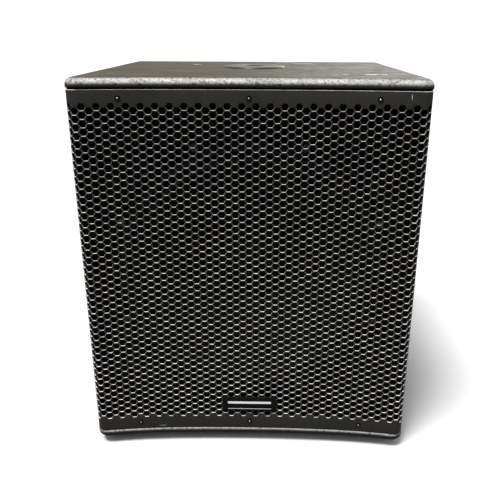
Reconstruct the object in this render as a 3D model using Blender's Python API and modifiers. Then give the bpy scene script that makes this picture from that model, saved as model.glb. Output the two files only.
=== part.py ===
"""A powered subwoofer cabinet, in metres: +Z is up, the grille faces -Y, and the feet stand on Z = 0."""

import math

import bmesh
import bpy
from mathutils import Matrix, Vector

MM = 0.001
GAP = 0.3 * MM  # left between pieces that rest on each other

# Cabinet
CABINET_WIDTH = 526 * MM
CABINET_HEIGHT = 600 * MM
CABINET_DEPTH = 518 * MM
FOOT_HEIGHT = 12 * MM
PANEL = 15 * MM
PANEL_ROUNDING = 10 * MM
FRONT_CORNER_RADIUS = 18 * MM
REAR_CORNER_RADIUS = 14 * MM
SIDE_SETBACK = 22 * MM  # side panels start this far behind the front corners
REAR_RECESS = 24 * MM

# The front is hollow in plan: its middle stands back from its sides.
FRONT_HOLLOW = 15.5 * MM
BOW_SPAN = 259.8 * MM
BOW_SQUARE = 9.6 * MM
BOW_FOURTH = 7.9 * MM

# Grille
GRILLE_HALF_WIDTH = 261 * MM
GRILLE_GAP = 1.3 * MM  # above and below the grille
GRILLE_SHEET = 1.5 * MM
GRILLE_BEND_RADIUS = 12 * MM
GRILLE_RETURN = 8 * MM
GRILLE_SCREW_X = 187 * MM
GRILLE_SCREW_INSET = 12 * MM
RAIL_SIZE = (20 * MM, 16 * MM)  # depth and height
BADGE_SIZE = (92 * MM, 26 * MM, 1.5 * MM)
BADGE_Z = 76 * MM

# Baffle, ports and brace
BAFFLE = 18 * MM
BAFFLE_Y = -204 * MM  # its front face
SLOT_X = (30 * MM, 145 * MM)
SLOT_Z = (30 * MM, 70 * MM)
PORT_BOARD = 12 * MM
PORT_END_Y = 120 * MM
BRACE_Y = (60 * MM, 78 * MM)
BRACE_Z = (440 * MM, 480 * MM)

# Woofer, 18 inch, along local Z from the baffle's front face
WOOFER_Z = 303 * MM
FLANGE_RADIUS = 231 * MM
CUTOUT_RADIUS = 211.5 * MM

# Amplifier, on the rear panel
AMP_Z = 330 * MM
AMP_PLATE = (240 * MM, 340 * MM, 3 * MM)
AMP_BOX = (200 * MM, 300 * MM, 95 * MM)
AMP_SHEET = 1.5 * MM
PLATE_FRONT = GAP + AMP_PLATE[2]
SOCKET_X = (-84 * MM, -28 * MM, 28 * MM, 84 * MM)
SOCKET_Y = -50 * MM
SOCKET_BODY_RADIUS = 11.6 * MM
CONTROL_Y = 5 * MM
KNOB_X = {"level_knob": -75 * MM, "crossover_knob": -25 * MM}
BUTTON_X = 25 * MM
LENS_X = 75 * MM
LENS_SIZE = (34 * MM, 5 * MM)
INLET_SPOT = (-60 * MM, -125 * MM)
INLET_BODY = (46 * MM, 26 * MM)
SWITCH_SPOT = (40 * MM, -125 * MM)
SWITCH_BODY = (22 * MM, 29 * MM)
ROCKER_TILT = 8  # degrees each way from level
BOARD_Z = -35 * MM
LEAD_RADIUS = 3 * MM
LEAD_Z = 400 * MM

# Handles, pole socket, feet
HANDLE_SPOT = (0 * MM, 360 * MM)
HANDLE_DEPTH = 66 * MM
GRIP_DEPTH = 16 * MM
GRIP_RADIUS = 11 * MM
POLE_Y = 26 * MM
POLE_BORE_RADIUS = 17.7 * MM
POLE_FLANGE_RADIUS = 56.5 * MM
FOOT_RADIUS = 19 * MM
FOOT_INSET = 70 * MM

# Grille screw: head radius, head height, shank radius, shank length
GRILLE_SCREW = (3.9 * MM, 1.8 * MM, 1.7 * MM, 14 * MM)

# Derived places
HALF_WIDTH = CABINET_WIDTH / 2
FRONT_Y = -CABINET_DEPTH / 2
REAR_Y = CABINET_DEPTH / 2
BASE_Z = FOOT_HEIGHT
TOP_Z = BASE_Z + CABINET_HEIGHT
FLOOR_Z = BASE_Z + PANEL
CEILING_Z = TOP_Z - PANEL
FRONT_MIDDLE_Y = FRONT_Y + FRONT_HOLLOW
INNER_X = HALF_WIDTH - PANEL
REAR_FACE_Y = REAR_Y - REAR_RECESS
GRILLE_Z = (FLOOR_Z + GRILLE_GAP, CEILING_Z - GRILLE_GAP)
PIN_CIRCLE = 4.5 * MM

# Colour, roughness and metallic value of each finish
FINISHES = {
    "cabinet_paint": ((0.020, 0.020, 0.021), 0.70, 0.0),
    "raw_plywood": ((0.42, 0.29, 0.17), 0.80, 0.0),
    "grille_paint": ((0.018, 0.018, 0.019), 0.42, 0.3),
    "black_steel": ((0.03, 0.03, 0.032), 0.45, 0.8),
    "ferrite": ((0.06, 0.06, 0.065), 0.55, 0.2),
    "cone_paper": ((0.035, 0.034, 0.033), 0.85, 0.0),
    "treated_cloth": ((0.030, 0.030, 0.031), 0.70, 0.0),
    "foam_rubber": ((0.022, 0.022, 0.023), 0.90, 0.0),
    "black_plastic": ((0.022, 0.022, 0.024), 0.45, 0.0),
    "grey_plastic": ((0.30, 0.30, 0.31), 0.45, 0.0),
    "copper": ((0.72, 0.38, 0.22), 0.35, 1.0),
    "black_aluminium": ((0.04, 0.04, 0.043), 0.50, 0.7),
    "green_board": ((0.03, 0.16, 0.07), 0.50, 0.0),
    "lens": ((0.10, 0.55, 0.20), 0.20, 0.0),
    "rubber": ((0.025, 0.025, 0.025), 0.85, 0.0),
}

PARTS = bpy.data.collections.new("subwoofer_cabinet")
CUTTERS = bpy.data.collections.new("cutters")


# Small tools ---------------------------------------------------------------------------------------


def add(name, mesh, finish, parent=None, spot=(0, 0, 0)):
    """A part object with its own material, at spot in its parent's frame."""
    obj = bpy.data.objects.new(name, mesh)
    PARTS.objects.link(obj)
    obj.parent = parent
    obj.location = spot
    colour, roughness, metallic = FINISHES[finish]
    material = bpy.data.materials.new(name)
    material.use_nodes = True
    shader = material.node_tree.nodes["Principled BSDF"]
    shader.inputs["Base Color"].default_value = (*colour, 1)
    shader.inputs["Roughness"].default_value = roughness
    shader.inputs["Metallic"].default_value = metallic
    mesh.materials.append(material)
    return obj


def mesh_of(name, bm):
    """A mesh data block from a bmesh, which is freed."""
    bmesh.ops.recalc_face_normals(bm, faces=bm.faces)
    mesh = bpy.data.meshes.new(name)
    bm.to_mesh(mesh)
    bm.free()
    return mesh


def frame(name, spot, facing):
    """An empty at spot whose Z points along facing, and whose Y points up when facing is level."""
    z = Vector(facing)
    y = Vector((0, 0, 1)) if abs(z.z) < 0.5 else Vector((0, 1, 0))
    x = y.cross(z)
    y = z.cross(x)
    empty = bpy.data.objects.new(name, None)
    PARTS.objects.link(empty)
    turn = Matrix((x, y, z)).transposed().to_4x4()
    empty.matrix_world = Matrix.Translation(spot) @ turn
    return empty


def evaluated_mesh(obj):
    """The object's mesh with its modifiers, or its curve's shape, made real and welded."""
    bpy.context.view_layer.update()
    graph = bpy.context.evaluated_depsgraph_get()
    mesh = bpy.data.meshes.new_from_object(obj.evaluated_get(graph))
    bm = bmesh.new()
    bm.from_mesh(mesh)
    bmesh.ops.remove_doubles(bm, verts=bm.verts, dist=0.005 * MM)
    bm.to_mesh(mesh)
    bm.free()
    return mesh


def box_mesh(name, low, high):
    """A box mesh about its own centre, and that centre."""
    bm = bmesh.new()
    bmesh.ops.create_cube(bm, size=1)
    size = [b - a for a, b in zip(low, high)]
    bmesh.ops.scale(bm, vec=size, verts=bm.verts)
    return mesh_of(name, bm), [(a + b) / 2 for a, b in zip(low, high)]


def box(name, low, high, finish, parent=None, rounding=0, steps=2):
    """A box from corner to corner, with its edges rounded when asked."""
    mesh, centre = box_mesh(name, low, high)
    obj = add(name, mesh, finish, parent, centre)
    if rounding:
        bevel = obj.modifiers.new("Rounding", "BEVEL")
        bevel.width = rounding
        bevel.segments = steps
    return obj


def prism_mesh(name, points, low, high):
    """A flat outline in X and Y, raised from low to high in Z. Its caps are single faces."""
    curve = bpy.data.curves.new(name, "CURVE")
    curve.dimensions = "2D"
    curve.fill_mode = "BOTH"
    curve.extrude = (high - low) / 2
    spline = curve.splines.new("POLY")
    spline.points.add(len(points) - 1)
    for point, (x, y) in zip(spline.points, points):
        point.co = (x, y, 0, 1)
    spline.use_cyclic_u = True
    guide = bpy.data.objects.new(name, curve)
    bpy.context.scene.collection.objects.link(guide)
    mesh = evaluated_mesh(guide)
    bpy.data.objects.remove(guide)
    bm = bmesh.new()
    bm.from_mesh(mesh)
    bmesh.ops.dissolve_limit(bm, angle_limit=math.radians(0.05), verts=bm.verts, edges=bm.edges)
    bmesh.ops.translate(bm, vec=(0, 0, (low + high) / 2), verts=bm.verts)
    return mesh_of(name, bm)


def turned(name, profile, finish, parent=None, spot=(0, 0, 0), segments=32):
    """A turned solid from (radius, height) points that run down its outer side. A profile that
    neither starts nor ends on the axis is a closed ring."""
    mesh = bpy.data.meshes.new(name)
    edges = [(i, i + 1) for i in range(len(profile) - 1)]
    if profile[0][0] > 0 and profile[-1][0] > 0:
        edges.append((len(profile) - 1, 0))
    mesh.from_pydata([(r, 0, z) for r, z in profile], edges, [])
    obj = add(name, mesh, finish, parent, spot)
    screw = obj.modifiers.new("Turn", "SCREW")
    screw.steps = segments
    screw.render_steps = segments
    screw.use_merge_vertices = True
    screw.merge_threshold = 0.01 * MM
    return obj


def group(name, template, places):
    """One mesh with a copy of the template mesh at each matrix."""
    bm = bmesh.new()
    for place in places:
        copy = template.copy()
        copy.transform(place)
        bm.from_mesh(copy)
        bpy.data.meshes.remove(copy)
    mesh = bpy.data.meshes.new(name)
    bm.to_mesh(mesh)
    bm.free()
    return mesh


def rod_mesh(name, radius, low, high, segments=12):
    """An upright cylinder on the Z axis, from low to high."""
    bm = bmesh.new()
    middle = Matrix.Translation((0, 0, (low + high) / 2))
    bmesh.ops.create_cone(
        bm, cap_ends=True, segments=segments, radius1=radius, radius2=radius,
        depth=high - low, matrix=middle,
    )
    return mesh_of(name, bm)


def helper(name, mesh, parent=None):
    """A cutter or a shape to be joined: it isn't a part."""
    obj = bpy.data.objects.new(name, mesh)
    CUTTERS.objects.link(obj)
    obj.parent = parent
    obj.hide_render = True
    obj.display_type = "WIRE"
    return obj


def combine(obj, operation, other):
    """Cuts the other shape out of obj, or joins it on."""
    boolean = obj.modifiers.new(other.name, "BOOLEAN")
    boolean.operation = operation
    boolean.object = other
    return obj


def at(points, turn=None):
    """A matrix at each point, turned by one common rotation."""
    turn = turn or Matrix.Identity(4)
    return [Matrix.Translation(point) @ turn for point in points]


def rounded_rectangle(width, height, radius, steps=4):
    """Corner points of a rounded rectangle about the origin, counterclockwise."""
    points = []
    for quarter in range(4):
        side_x = 1 if quarter in (0, 3) else -1
        side_y = 1 if quarter in (0, 1) else -1
        centre = Vector((side_x * (width / 2 - radius), side_y * (height / 2 - radius)))
        for step in range(steps + 1):
            angle = math.pi / 2 * (quarter + step / steps)
            points.append(centre + radius * Vector((math.cos(angle), math.sin(angle))))
    return points


def lofted_mesh(name, sections):
    """A closed skin through (outline points, z) sections, capped by its first and last one."""
    bm = bmesh.new()
    rings = [[bm.verts.new((x, y, z)) for x, y in points] for points, z in sections]
    for ring, following in zip(rings, rings[1:]):
        for i, corner in enumerate(ring):
            bm.faces.new((ring[i - 1], corner, following[i], following[i - 1]))
    bm.faces.new(rings[0])
    bm.faces.new(rings[-1])
    return mesh_of(name, bm)


# The hollow front ----------------------------------------------------------------------------------


def front_line(x):
    """Y of the grille's face at x."""
    share = abs(x) / BOW_SPAN
    return FRONT_MIDDLE_Y - BOW_SQUARE * share**2 - BOW_FOURTH * share**4


def front_slope(x):
    """Angle by which the front leans forward towards its sides at x."""
    share = abs(x) / BOW_SPAN
    return math.atan((2 * BOW_SQUARE * share + 4 * BOW_FOURTH * share**3) / BOW_SPAN)


def front_half(half_width, radius, forward, steps=10, bend_steps=6):
    """Plan points from the middle of the front to where its right-hand corner meets the side."""
    start = half_width - radius
    for _ in range(5):
        start = half_width - radius * (1 + math.sin(front_slope(start)))
    points = [(start * i / steps, front_line(start * i / steps) - forward) for i in range(steps + 1)]
    lean = front_slope(start)
    centre_x = half_width - radius
    centre_y = points[-1][1] + radius * math.cos(lean)
    for i in range(1, bend_steps + 1):
        heading = -lean + (math.pi / 2 + lean) * i / bend_steps
        points.append((centre_x + radius * math.sin(heading), centre_y - radius * math.cos(heading)))
    return points


def mirrored(points):
    """The same points on both sides of X = 0, from the left end to the right end."""
    return [(-x, y) for x, y in reversed(points) if x > 0] + points


def panel_outline():
    """Plan of the top and bottom panels."""
    right = front_half(HALF_WIDTH, FRONT_CORNER_RADIUS, 1 * MM)
    for step in range(5):
        angle = math.pi / 8 * step
        right.append(
            (
                HALF_WIDTH - REAR_CORNER_RADIUS * (1 - math.cos(angle)),
                REAR_Y - REAR_CORNER_RADIUS * (1 - math.sin(angle)),
            )
        )
    return mirrored(right)


# Cabinet -------------------------------------------------------------------------------------------


def rounded_panel(name, low, high, rounded_z):
    """A plywood panel whose rim is rounded at the height rounded_z."""
    bm = bmesh.new()
    bm.from_mesh(prism_mesh(name, panel_outline(), low, high))
    rim = [e for e in bm.edges if all(abs(v.co.z - rounded_z) < 0.1 * MM for v in e.verts)]
    bmesh.ops.bevel(
        bm, geom=rim, offset=PANEL_ROUNDING, segments=4, profile=0.5, affect="EDGES",
        clamp_overlap=False,
    )
    return add(name, mesh_of(name, bm), "cabinet_paint")


def side_panel(name, side):
    """A side panel with a rounded rear edge, cut out and rebated for its handle."""
    outer, inner = side * HALF_WIDTH, side * INNER_X
    front, rear, radius = FRONT_Y + SIDE_SETBACK, REAR_Y, REAR_CORNER_RADIUS
    points = [(inner, front), (outer, front)]
    for step in range(5):
        angle = math.pi / 8 * step
        inset = side * radius * (1 - math.cos(angle))
        points.append((outer - inset, rear - radius * (1 - math.sin(angle))))
    points.append((inner, rear))
    mesh = prism_mesh(name, points, FLOOR_Z + GAP, CEILING_Z - GAP)
    return add(name, mesh, "cabinet_paint")


def board(name, x, y, z, finish="raw_plywood"):
    """A plain board between (low, high) pairs, kept clear of its neighbours."""
    low = [pair[0] + GAP for pair in (x, y, z)]
    high = [pair[1] - GAP for pair in (x, y, z)]
    return box(name, low, high, finish)


def baffle():
    """The front baffle, cut out for the woofer and the two port slots."""
    across, up = (-INNER_X, INNER_X), (FLOOR_Z, CEILING_Z)
    obj = board("front_baffle", across, (BAFFLE_Y - GAP, BAFFLE_Y + BAFFLE), up, "cabinet_paint")
    turn = Matrix.Rotation(math.pi / 2, 4, "X")
    hole = rod_mesh("woofer_hole", CUTOUT_RADIUS, -50 * MM, 50 * MM, 48)
    hole.transform(Matrix.Translation((0, BAFFLE_Y, WOOFER_Z)) @ turn)
    combine(obj, "DIFFERENCE", helper("woofer_hole", hole))
    for side, name in ((-1, "slot_hole_left"), (1, "slot_hole_right")):
        ends = sorted(side * x for x in SLOT_X)
        low = (ends[0], BAFFLE_Y - 20 * MM, SLOT_Z[0])
        high = (ends[1], BAFFLE_Y + BAFFLE + 20 * MM, SLOT_Z[1])
        mesh, centre = box_mesh(name, low, high)
        slot = helper(name, mesh)
        slot.location = centre
        combine(obj, "DIFFERENCE", slot)
    return obj


def port_frame():
    """The shelf over the two ducts, with their outer walls and the divider between them."""
    duct = (BAFFLE_Y + BAFFLE, PORT_END_Y)
    obj = board("port_frame", (-INNER_X, INNER_X), duct, (SLOT_Z[1], SLOT_Z[1] + PORT_BOARD))
    wall_x = (SLOT_X[1], SLOT_X[1] + PORT_BOARD)
    under = ((-SLOT_X[0], SLOT_X[0]), wall_x, (-wall_x[1], -wall_x[0]))
    for i, (low_x, high_x) in enumerate(under):
        low = (low_x, duct[0] + GAP, FLOOR_Z + GAP)
        mesh, centre = box_mesh("duct_wall", low, (high_x, duct[1] - GAP, SLOT_Z[1] + PORT_BOARD / 2))
        wall = helper("duct_wall_" + str(i), mesh)
        wall.location = centre
        combine(obj, "UNION", wall)
    return obj


def cabinet():
    """The plywood box and its inner boards. Returns the pieces that screws go into."""
    pieces = {
        "top": rounded_panel("top_panel", CEILING_Z, TOP_Z, TOP_Z),
        "bottom": rounded_panel("bottom_panel", BASE_Z, FLOOR_Z, BASE_Z),
        "left": side_panel("left_side_panel", -1),
        "right": side_panel("right_side_panel", 1),
        "baffle": baffle(),
    }
    across, up = (-INNER_X, INNER_X), (FLOOR_Z, CEILING_Z)
    rear = (REAR_FACE_Y - PANEL, REAR_FACE_Y + GAP)
    pieces["rear"] = board("rear_panel", across, rear, up, "cabinet_paint")
    port_frame()
    board("cross_brace", across, BRACE_Y, BRACE_Z)
    return pieces


# Grille --------------------------------------------------------------------------------------------


def grille_screws():
    """The six screws, square to the grille's face, and one cutter for their holes."""
    head_radius, head_height, shank_radius, shank_length = GRILLE_SCREW
    top = GAP + head_height
    profile = [
        (0, top), (head_radius - 1 * MM, top), (head_radius, GAP + 0.6 * MM), (head_radius, GAP),
        (shank_radius, GAP), (shank_radius, -shank_length), (0, -shank_length),
    ]
    rows = {"bottom": GRILLE_Z[0] + GRILLE_SCREW_INSET, "top": GRILLE_Z[1] - GRILLE_SCREW_INSET}
    columns = {"left": -GRILLE_SCREW_X, "middle": 0, "right": GRILLE_SCREW_X}
    places = []
    for row, z in rows.items():
        for column, x in columns.items():
            lean = math.copysign(front_slope(x), -x)
            turn = Matrix.Rotation(lean, 4, "Z") @ Matrix.Rotation(math.pi / 2, 4, "X")
            places.append(Matrix.Translation((x, front_line(x), z)) @ turn)
            screw = turned("grille_screw_" + row + "_" + column, profile, "black_steel", segments=12)
            screw.matrix_world = places[-1]
    template = rod_mesh("hole", shank_radius + GAP, -shank_length - GAP, shank_length, 10)
    return helper("grille_screw_holes", group("grille_screw_holes", template, places))


def grille():
    """The formed sheet, the rails behind it, its screws and the badge."""
    half = front_half(GRILLE_HALF_WIDTH, GRILLE_BEND_RADIUS, 0)
    end_x, end_y = half[-1]
    line = mirrored(half + [(end_x, end_y + GRILLE_RETURN)])
    bm = bmesh.new()
    lower = [bm.verts.new((x, y, GRILLE_Z[0])) for x, y in line]
    edges = [bm.edges.new(pair) for pair in zip(lower, lower[1:])]
    raised = bmesh.ops.extrude_edge_only(bm, edges=edges)["geom"]
    upper = [v for v in raised if isinstance(v, bmesh.types.BMVert)]
    bmesh.ops.translate(bm, vec=(0, 0, GRILLE_Z[1] - GRILLE_Z[0]), verts=upper)
    # the faces look backwards, so the thickness goes to the rear of the face line
    bmesh.ops.recalc_face_normals(bm, faces=bm.faces)
    if bm.faces[:][len(bm.faces) // 2].normal.y > 0:
        bmesh.ops.reverse_faces(bm, faces=bm.faces)
    mesh = bpy.data.meshes.new("grille")
    bm.to_mesh(mesh)
    bm.free()
    sheet = add("grille", mesh, "grille_paint")
    solidify = sheet.modifiers.new("Sheet", "SOLIDIFY")
    solidify.thickness = GRILLE_SHEET
    solidify.offset = -1
    solidify.use_even_offset = True
    holes = grille_screws()
    combine(sheet, "DIFFERENCE", holes)
    height = RAIL_SIZE[1]
    combine(rail("grille_rail_bottom", FLOOR_Z + GAP, FLOOR_Z + GAP + height), "DIFFERENCE", holes)
    combine(rail("grille_rail_top", CEILING_Z - GAP - height, CEILING_Z - GAP), "DIFFERENCE", holes)
    badge()


def rail(name, low, high):
    """A wooden rail that follows the inside of the hollow front and takes the grille's screws."""
    end = INNER_X - 3 * MM
    clear = GRILLE_SHEET + GAP
    front = [(end * i / 8, front_line(end * i / 8) + clear) for i in range(9)]
    back = [(x, y + RAIL_SIZE[0]) for x, y in reversed(front)]
    left = [(-x, y) for x, y in reversed(front) if x > 0]
    left_back = [(-x, y) for x, y in reversed(back) if x > 0]
    return add(name, prism_mesh(name, left + front + back + left_back, low, high), "cabinet_paint")


def badge():
    """A thin plate on the lower middle of the grille."""
    width, height, thickness = BADGE_SIZE
    base = frame("badge_place", (0, front_line(width / 2) - GAP, BADGE_Z), (0, -1, 0))
    mesh = prism_mesh("badge", rounded_rectangle(width, height, 3 * MM, 3), 0, thickness)
    add("badge", mesh, "black_plastic", base)


# Woofer --------------------------------------------------------------------------------------------


def roll(start, end, rim, base, height, count, thickness):
    """Ring profile of a flexing part: half rolls between two radii, alternately up and down, and
    then a flat rim."""
    steps = 2 * count
    top, bottom = [], []
    for i in range(steps + 1):
        radius = start + (end - start) * i / steps
        level = base + height * math.sin(math.pi * count * i / steps)
        top.append((radius, level + thickness))
        bottom.append((radius, level))
    top.append((end + rim, base + thickness))
    bottom.append((end + rim, base))
    return top + bottom[::-1]


def basket(place):
    """The woofer's frame: a flange, a neck through the baffle, and a windowed cone."""
    profile = [
        (FLANGE_RADIUS, 6.3 * MM), (FLANGE_RADIUS, GAP), (208.5 * MM, GAP), (208.5 * MM, -22 * MM),
        (105 * MM, -114 * MM), (105 * MM, -128 * MM), (60 * MM, -128 * MM), (60 * MM, -125 * MM),
        (92 * MM, -125 * MM), (92 * MM, -112 * MM), (102 * MM, -112 * MM), (205.5 * MM, -20.5 * MM),
        (205.5 * MM, 6.3 * MM),
    ]
    obj = turned("woofer_basket", profile, "black_steel", place, segments=40)
    window = [(118 * MM, -28 * MM), (197 * MM, -62 * MM), (197 * MM, 62 * MM), (118 * MM, 28 * MM)]
    template = prism_mesh("window", window, -120 * MM, -24 * MM)
    turns = [Matrix.Rotation(math.radians(30 + 60 * i), 4, "Z") for i in range(6)]
    windows = helper("basket_windows", group("basket_windows", template, turns), place)
    combine(obj, "DIFFERENCE", windows)


def motor(place):
    """Top plate, magnet ring and pole piece behind the basket."""
    turned(
        "magnet_top_plate",
        [(90 * MM, -128.3 * MM), (90 * MM, -138.3 * MM), (53.5 * MM, -138.3 * MM), (53.5 * MM, -128.3 * MM)],
        "black_steel", place,
    )
    turned(
        "magnet_ring",
        [(100 * MM, -138.6 * MM), (100 * MM, -183.6 * MM), (62 * MM, -183.6 * MM), (62 * MM, -138.6 * MM)],
        "ferrite", place,
    )
    turned(
        "pole_piece",
        [
            (48.5 * MM, -126 * MM), (48.5 * MM, -183.9 * MM), (95 * MM, -183.9 * MM),
            (95 * MM, -193.9 * MM), (12 * MM, -193.9 * MM), (12 * MM, -126 * MM),
        ],
        "black_steel", place,
    )


def moving_pieces(place):
    """Cone, dust cap, coil former and voice coil, with the surround and spider that hold them."""
    slope = 0.589
    neck, rim = 51.5 * MM, 181 * MM
    depth = -70 * MM
    lip = depth + slope * (rim - neck)
    skin = 1.3 * MM
    turned(
        "woofer_cone",
        [(rim, lip), (rim, lip - skin), (neck, depth - skin), (neck, depth)],
        "cone_paper", place, segments=40,
    )
    cap_radius, cap_rise = 68 * MM, 22 * MM
    cap_level = depth + slope * (cap_radius - neck) + GAP
    steps = 6
    outer = []
    for i in range(steps + 1):
        share = i / steps
        outer.append((cap_radius * share, cap_level + 1.2 * MM + cap_rise * (1 - share**2)))
    inner = [(r * 0.985, z - 1 * MM) for r, z in reversed(outer)]
    turned("dust_cap", outer + inner, "cone_paper", place, segments=24)
    turned(
        "coil_former",
        [(50.8 * MM, -73.5 * MM), (50.8 * MM, -152 * MM), (50 * MM, -152 * MM), (50 * MM, -73.5 * MM)],
        "grey_plastic", place,
    )
    turned(
        "voice_coil",
        [(52.6 * MM, -132 * MM), (52.6 * MM, -151.5 * MM), (51.1 * MM, -151.5 * MM), (51.1 * MM, -132 * MM)],
        "copper", place,
    )
    surround_base = 6.6 * MM
    profile = roll(rim + GAP, 205 * MM, 6.5 * MM, surround_base, 5 * MM, 3, 1 * MM)
    turned("woofer_surround", profile, "treated_cloth", place, segments=40)
    profile = roll(51.5 * MM, 91 * MM, 10.5 * MM, -111.6 * MM, 2.2 * MM, 5, 0.8 * MM)
    turned("spider", profile, "treated_cloth", place, segments=24)


def terminals(place):
    """A block with two posts on the basket's side."""
    low = (105.6 * MM, -15 * MM, -127 * MM)
    high = (125 * MM, 15 * MM, -115 * MM)
    obj = box("woofer_terminals", low, high, "black_plastic", place)
    post = rod_mesh("terminal_post", 3.5 * MM, -2 * MM, 10 * MM, 10)
    turn = Matrix.Rotation(math.pi / 2, 4, "Y")
    spots = [(125 * MM, side * 8 * MM, -121 * MM) for side in (-1, 1)]
    posts = helper("terminal_posts", group("terminal_posts", post, at(spots, turn)), place)
    combine(obj, "UNION", posts)


def lead(place):
    """The sheathed cable from the amplifier box to the woofer's terminals."""
    start = place.matrix_world @ Vector((126 * MM, 0, -121 * MM))
    mouth = Vector((60 * MM, REAR_FACE_Y - AMP_BOX[2] + 6 * MM, LEAD_Z))
    route = [
        start,
        start + Vector((30 * MM, 4 * MM, 0)),
        start + Vector((34 * MM, 60 * MM, 2 * MM)),
        Vector((110 * MM, 70 * MM, LEAD_Z - 48 * MM)),
        mouth + Vector((4 * MM, -50 * MM, -6 * MM)),
        mouth + Vector((0, -15 * MM, 0)),
        mouth,
    ]
    curve = bpy.data.curves.new("speaker_lead", "CURVE")
    curve.dimensions = "3D"
    curve.bevel_depth = LEAD_RADIUS
    curve.bevel_resolution = 2
    curve.use_fill_caps = True
    points = smooth_route(route, 4)
    spline = curve.splines.new("POLY")
    spline.points.add(len(points) - 1)
    for point, spot in zip(spline.points, points):
        point.co = (*spot, 1)
    add("speaker_lead", curve, "black_plastic")


def smooth_route(route, steps):
    """Points on the Catmull-Rom curve through a route, with that many to each stretch."""
    ends = [route[0] * 2 - route[1]] + route + [route[-1] * 2 - route[-2]]
    points = []
    for a, b, c, d in zip(ends, ends[1:], ends[2:], ends[3:]):
        for i in range(steps):
            t = i / steps
            square = (2 * a - 5 * b + 4 * c - d) * t**2
            cube = (3 * b - a - 3 * c + d) * t**3
            points.append((2 * b + (c - a) * t + square + cube) / 2)
    return points + [route[-1]]


def woofer():
    """The whole driver, on the front of the baffle."""
    place = frame("woofer_place", (0, BAFFLE_Y, WOOFER_Z), (0, -1, 0))
    basket(place)
    turned(
        "woofer_gasket",
        [(230 * MM, 9.6 * MM), (230 * MM, 6.6 * MM), (212.5 * MM, 6.6 * MM), (212.5 * MM, 9.6 * MM)],
        "foam_rubber", place, segments=40,
    )
    motor(place)
    moving_pieces(place)
    terminals(place)
    lead(place)


# Amplifier -----------------------------------------------------------------------------------------


def amp_openings(place):
    """One cutter with every hole that the amplifier plate has, apart from its screw holes."""
    parts = []
    low, high = -10 * MM, 20 * MM
    socket = rod_mesh("socket_hole", SOCKET_BODY_RADIUS + GAP, low, high, 24)
    parts += [(socket, (x, SOCKET_Y, 0)) for x in SOCKET_X]
    shaft = rod_mesh("shaft_hole", 3.4 * MM, low, high, 16)
    parts += [(shaft, (x, CONTROL_Y, 0)) for x in KNOB_X.values()]
    parts.append((rod_mesh("button_hole", 5 * MM, low, high, 16), (BUTTON_X, CONTROL_Y, 0)))
    windows = (
        (LENS_SIZE, (LENS_X, CONTROL_Y)),
        (INLET_BODY, INLET_SPOT),
        (SWITCH_BODY, SWITCH_SPOT),
    )
    for (width, height), (x, y) in windows:
        window, _ = box_mesh("window", (0, 0, low), (width + 2 * GAP, height + 2 * GAP, high))
        parts.append((window, (x, y, (low + high) / 2)))
    bm = bmesh.new()
    for mesh, spot in parts:
        mesh = mesh.copy()
        mesh.transform(Matrix.Translation(spot))
        bm.from_mesh(mesh)
    return helper("amp_plate_openings", mesh_of("amp_plate_openings", bm), place)


def latch_openings(place):
    """A cutter that widens the two input sockets' holes upwards for their latch tabs."""
    slot, _ = box_mesh("latch_hole", (0, 0, -10 * MM), (7.2 * MM, 5.2 * MM, 20 * MM))
    spots = [(x, SOCKET_Y + 12.6 * MM, 0) for x in SOCKET_X[:2]]
    return helper("latch_openings", group("latch_openings", slot, at(spots)), place)


def heat_sink(place):
    """An extruded sink with upright fins."""
    width, height, base, fin, count = 196 * MM, 118 * MM, 4 * MM, 17 * MM, 15
    pitch = (width - 2 * MM) / (count - 1)
    points = [(-width / 2, 0), (width / 2, 0)]
    for i in reversed(range(count)):
        middle = -width / 2 + 1 * MM + pitch * i
        points += [(middle + 1 * MM, fin), (middle - 1 * MM, fin)]
        if i:
            points += [(middle - 1 * MM, base), (middle - pitch + 1 * MM, base)]
    mesh = prism_mesh("heat_sink", points, -height / 2, height / 2)
    mesh.transform(Matrix.Rotation(math.pi / 2, 4, "X"))
    mesh.transform(Matrix.Diagonal((1, -1, 1, 1)))
    mesh.flip_normals()
    add("heat_sink", mesh, "black_aluminium", place, (0, 95 * MM, PLATE_FRONT + GAP))


def socket(name, x, place, pins):
    """A round three-pole socket on a flange: a deep cup with pins, or a face with three holes."""
    spot = (x, SOCKET_Y, PLATE_FRONT + GAP)
    flange = prism_mesh(name, rounded_rectangle(26 * MM, 31 * MM, 3 * MM, 2), 0, 2 * MM)
    obj = add(name, flange, "black_plastic", place, spot)
    body = helper(name + "_body", rod_mesh(name, SOCKET_BODY_RADIUS, -26 * MM, 3 * MM, 24), obj)
    combine(obj, "UNION", body)
    depth = 15 * MM if pins else 2.4 * MM
    bore = rod_mesh(name, 9.6 * MM, 3 * MM - depth, 10 * MM, 20)
    combine(obj, "DIFFERENCE", helper(name + "_bore", bore, obj))
    angles = [math.radians(90 + 120 * i) for i in range(3)]
    spots = [(PIN_CIRCLE * math.cos(a), PIN_CIRCLE * math.sin(a), 0) for a in angles]
    if pins:
        rods = rod_mesh(name, 1.2 * MM, 2 * MM - depth, -1 * MM, 8)
        combine(obj, "UNION", helper(name + "_pins", group(name, rods, at(spots)), obj))
    else:
        rods = rod_mesh(name, 1.5 * MM, -12 * MM, 5 * MM, 8)
        combine(obj, "DIFFERENCE", helper(name + "_holes", group(name, rods, at(spots)), obj))
        slot_low = (-3.4 * MM, 11.8 * MM, -3 * MM)
        slot_high = (3.4 * MM, 15 * MM, 6 * MM)
        mesh, centre = box_mesh(name, slot_low, slot_high)
        notch = helper(name + "_notch", mesh, obj)
        notch.location = centre
        combine(obj, "DIFFERENCE", notch)


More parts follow.
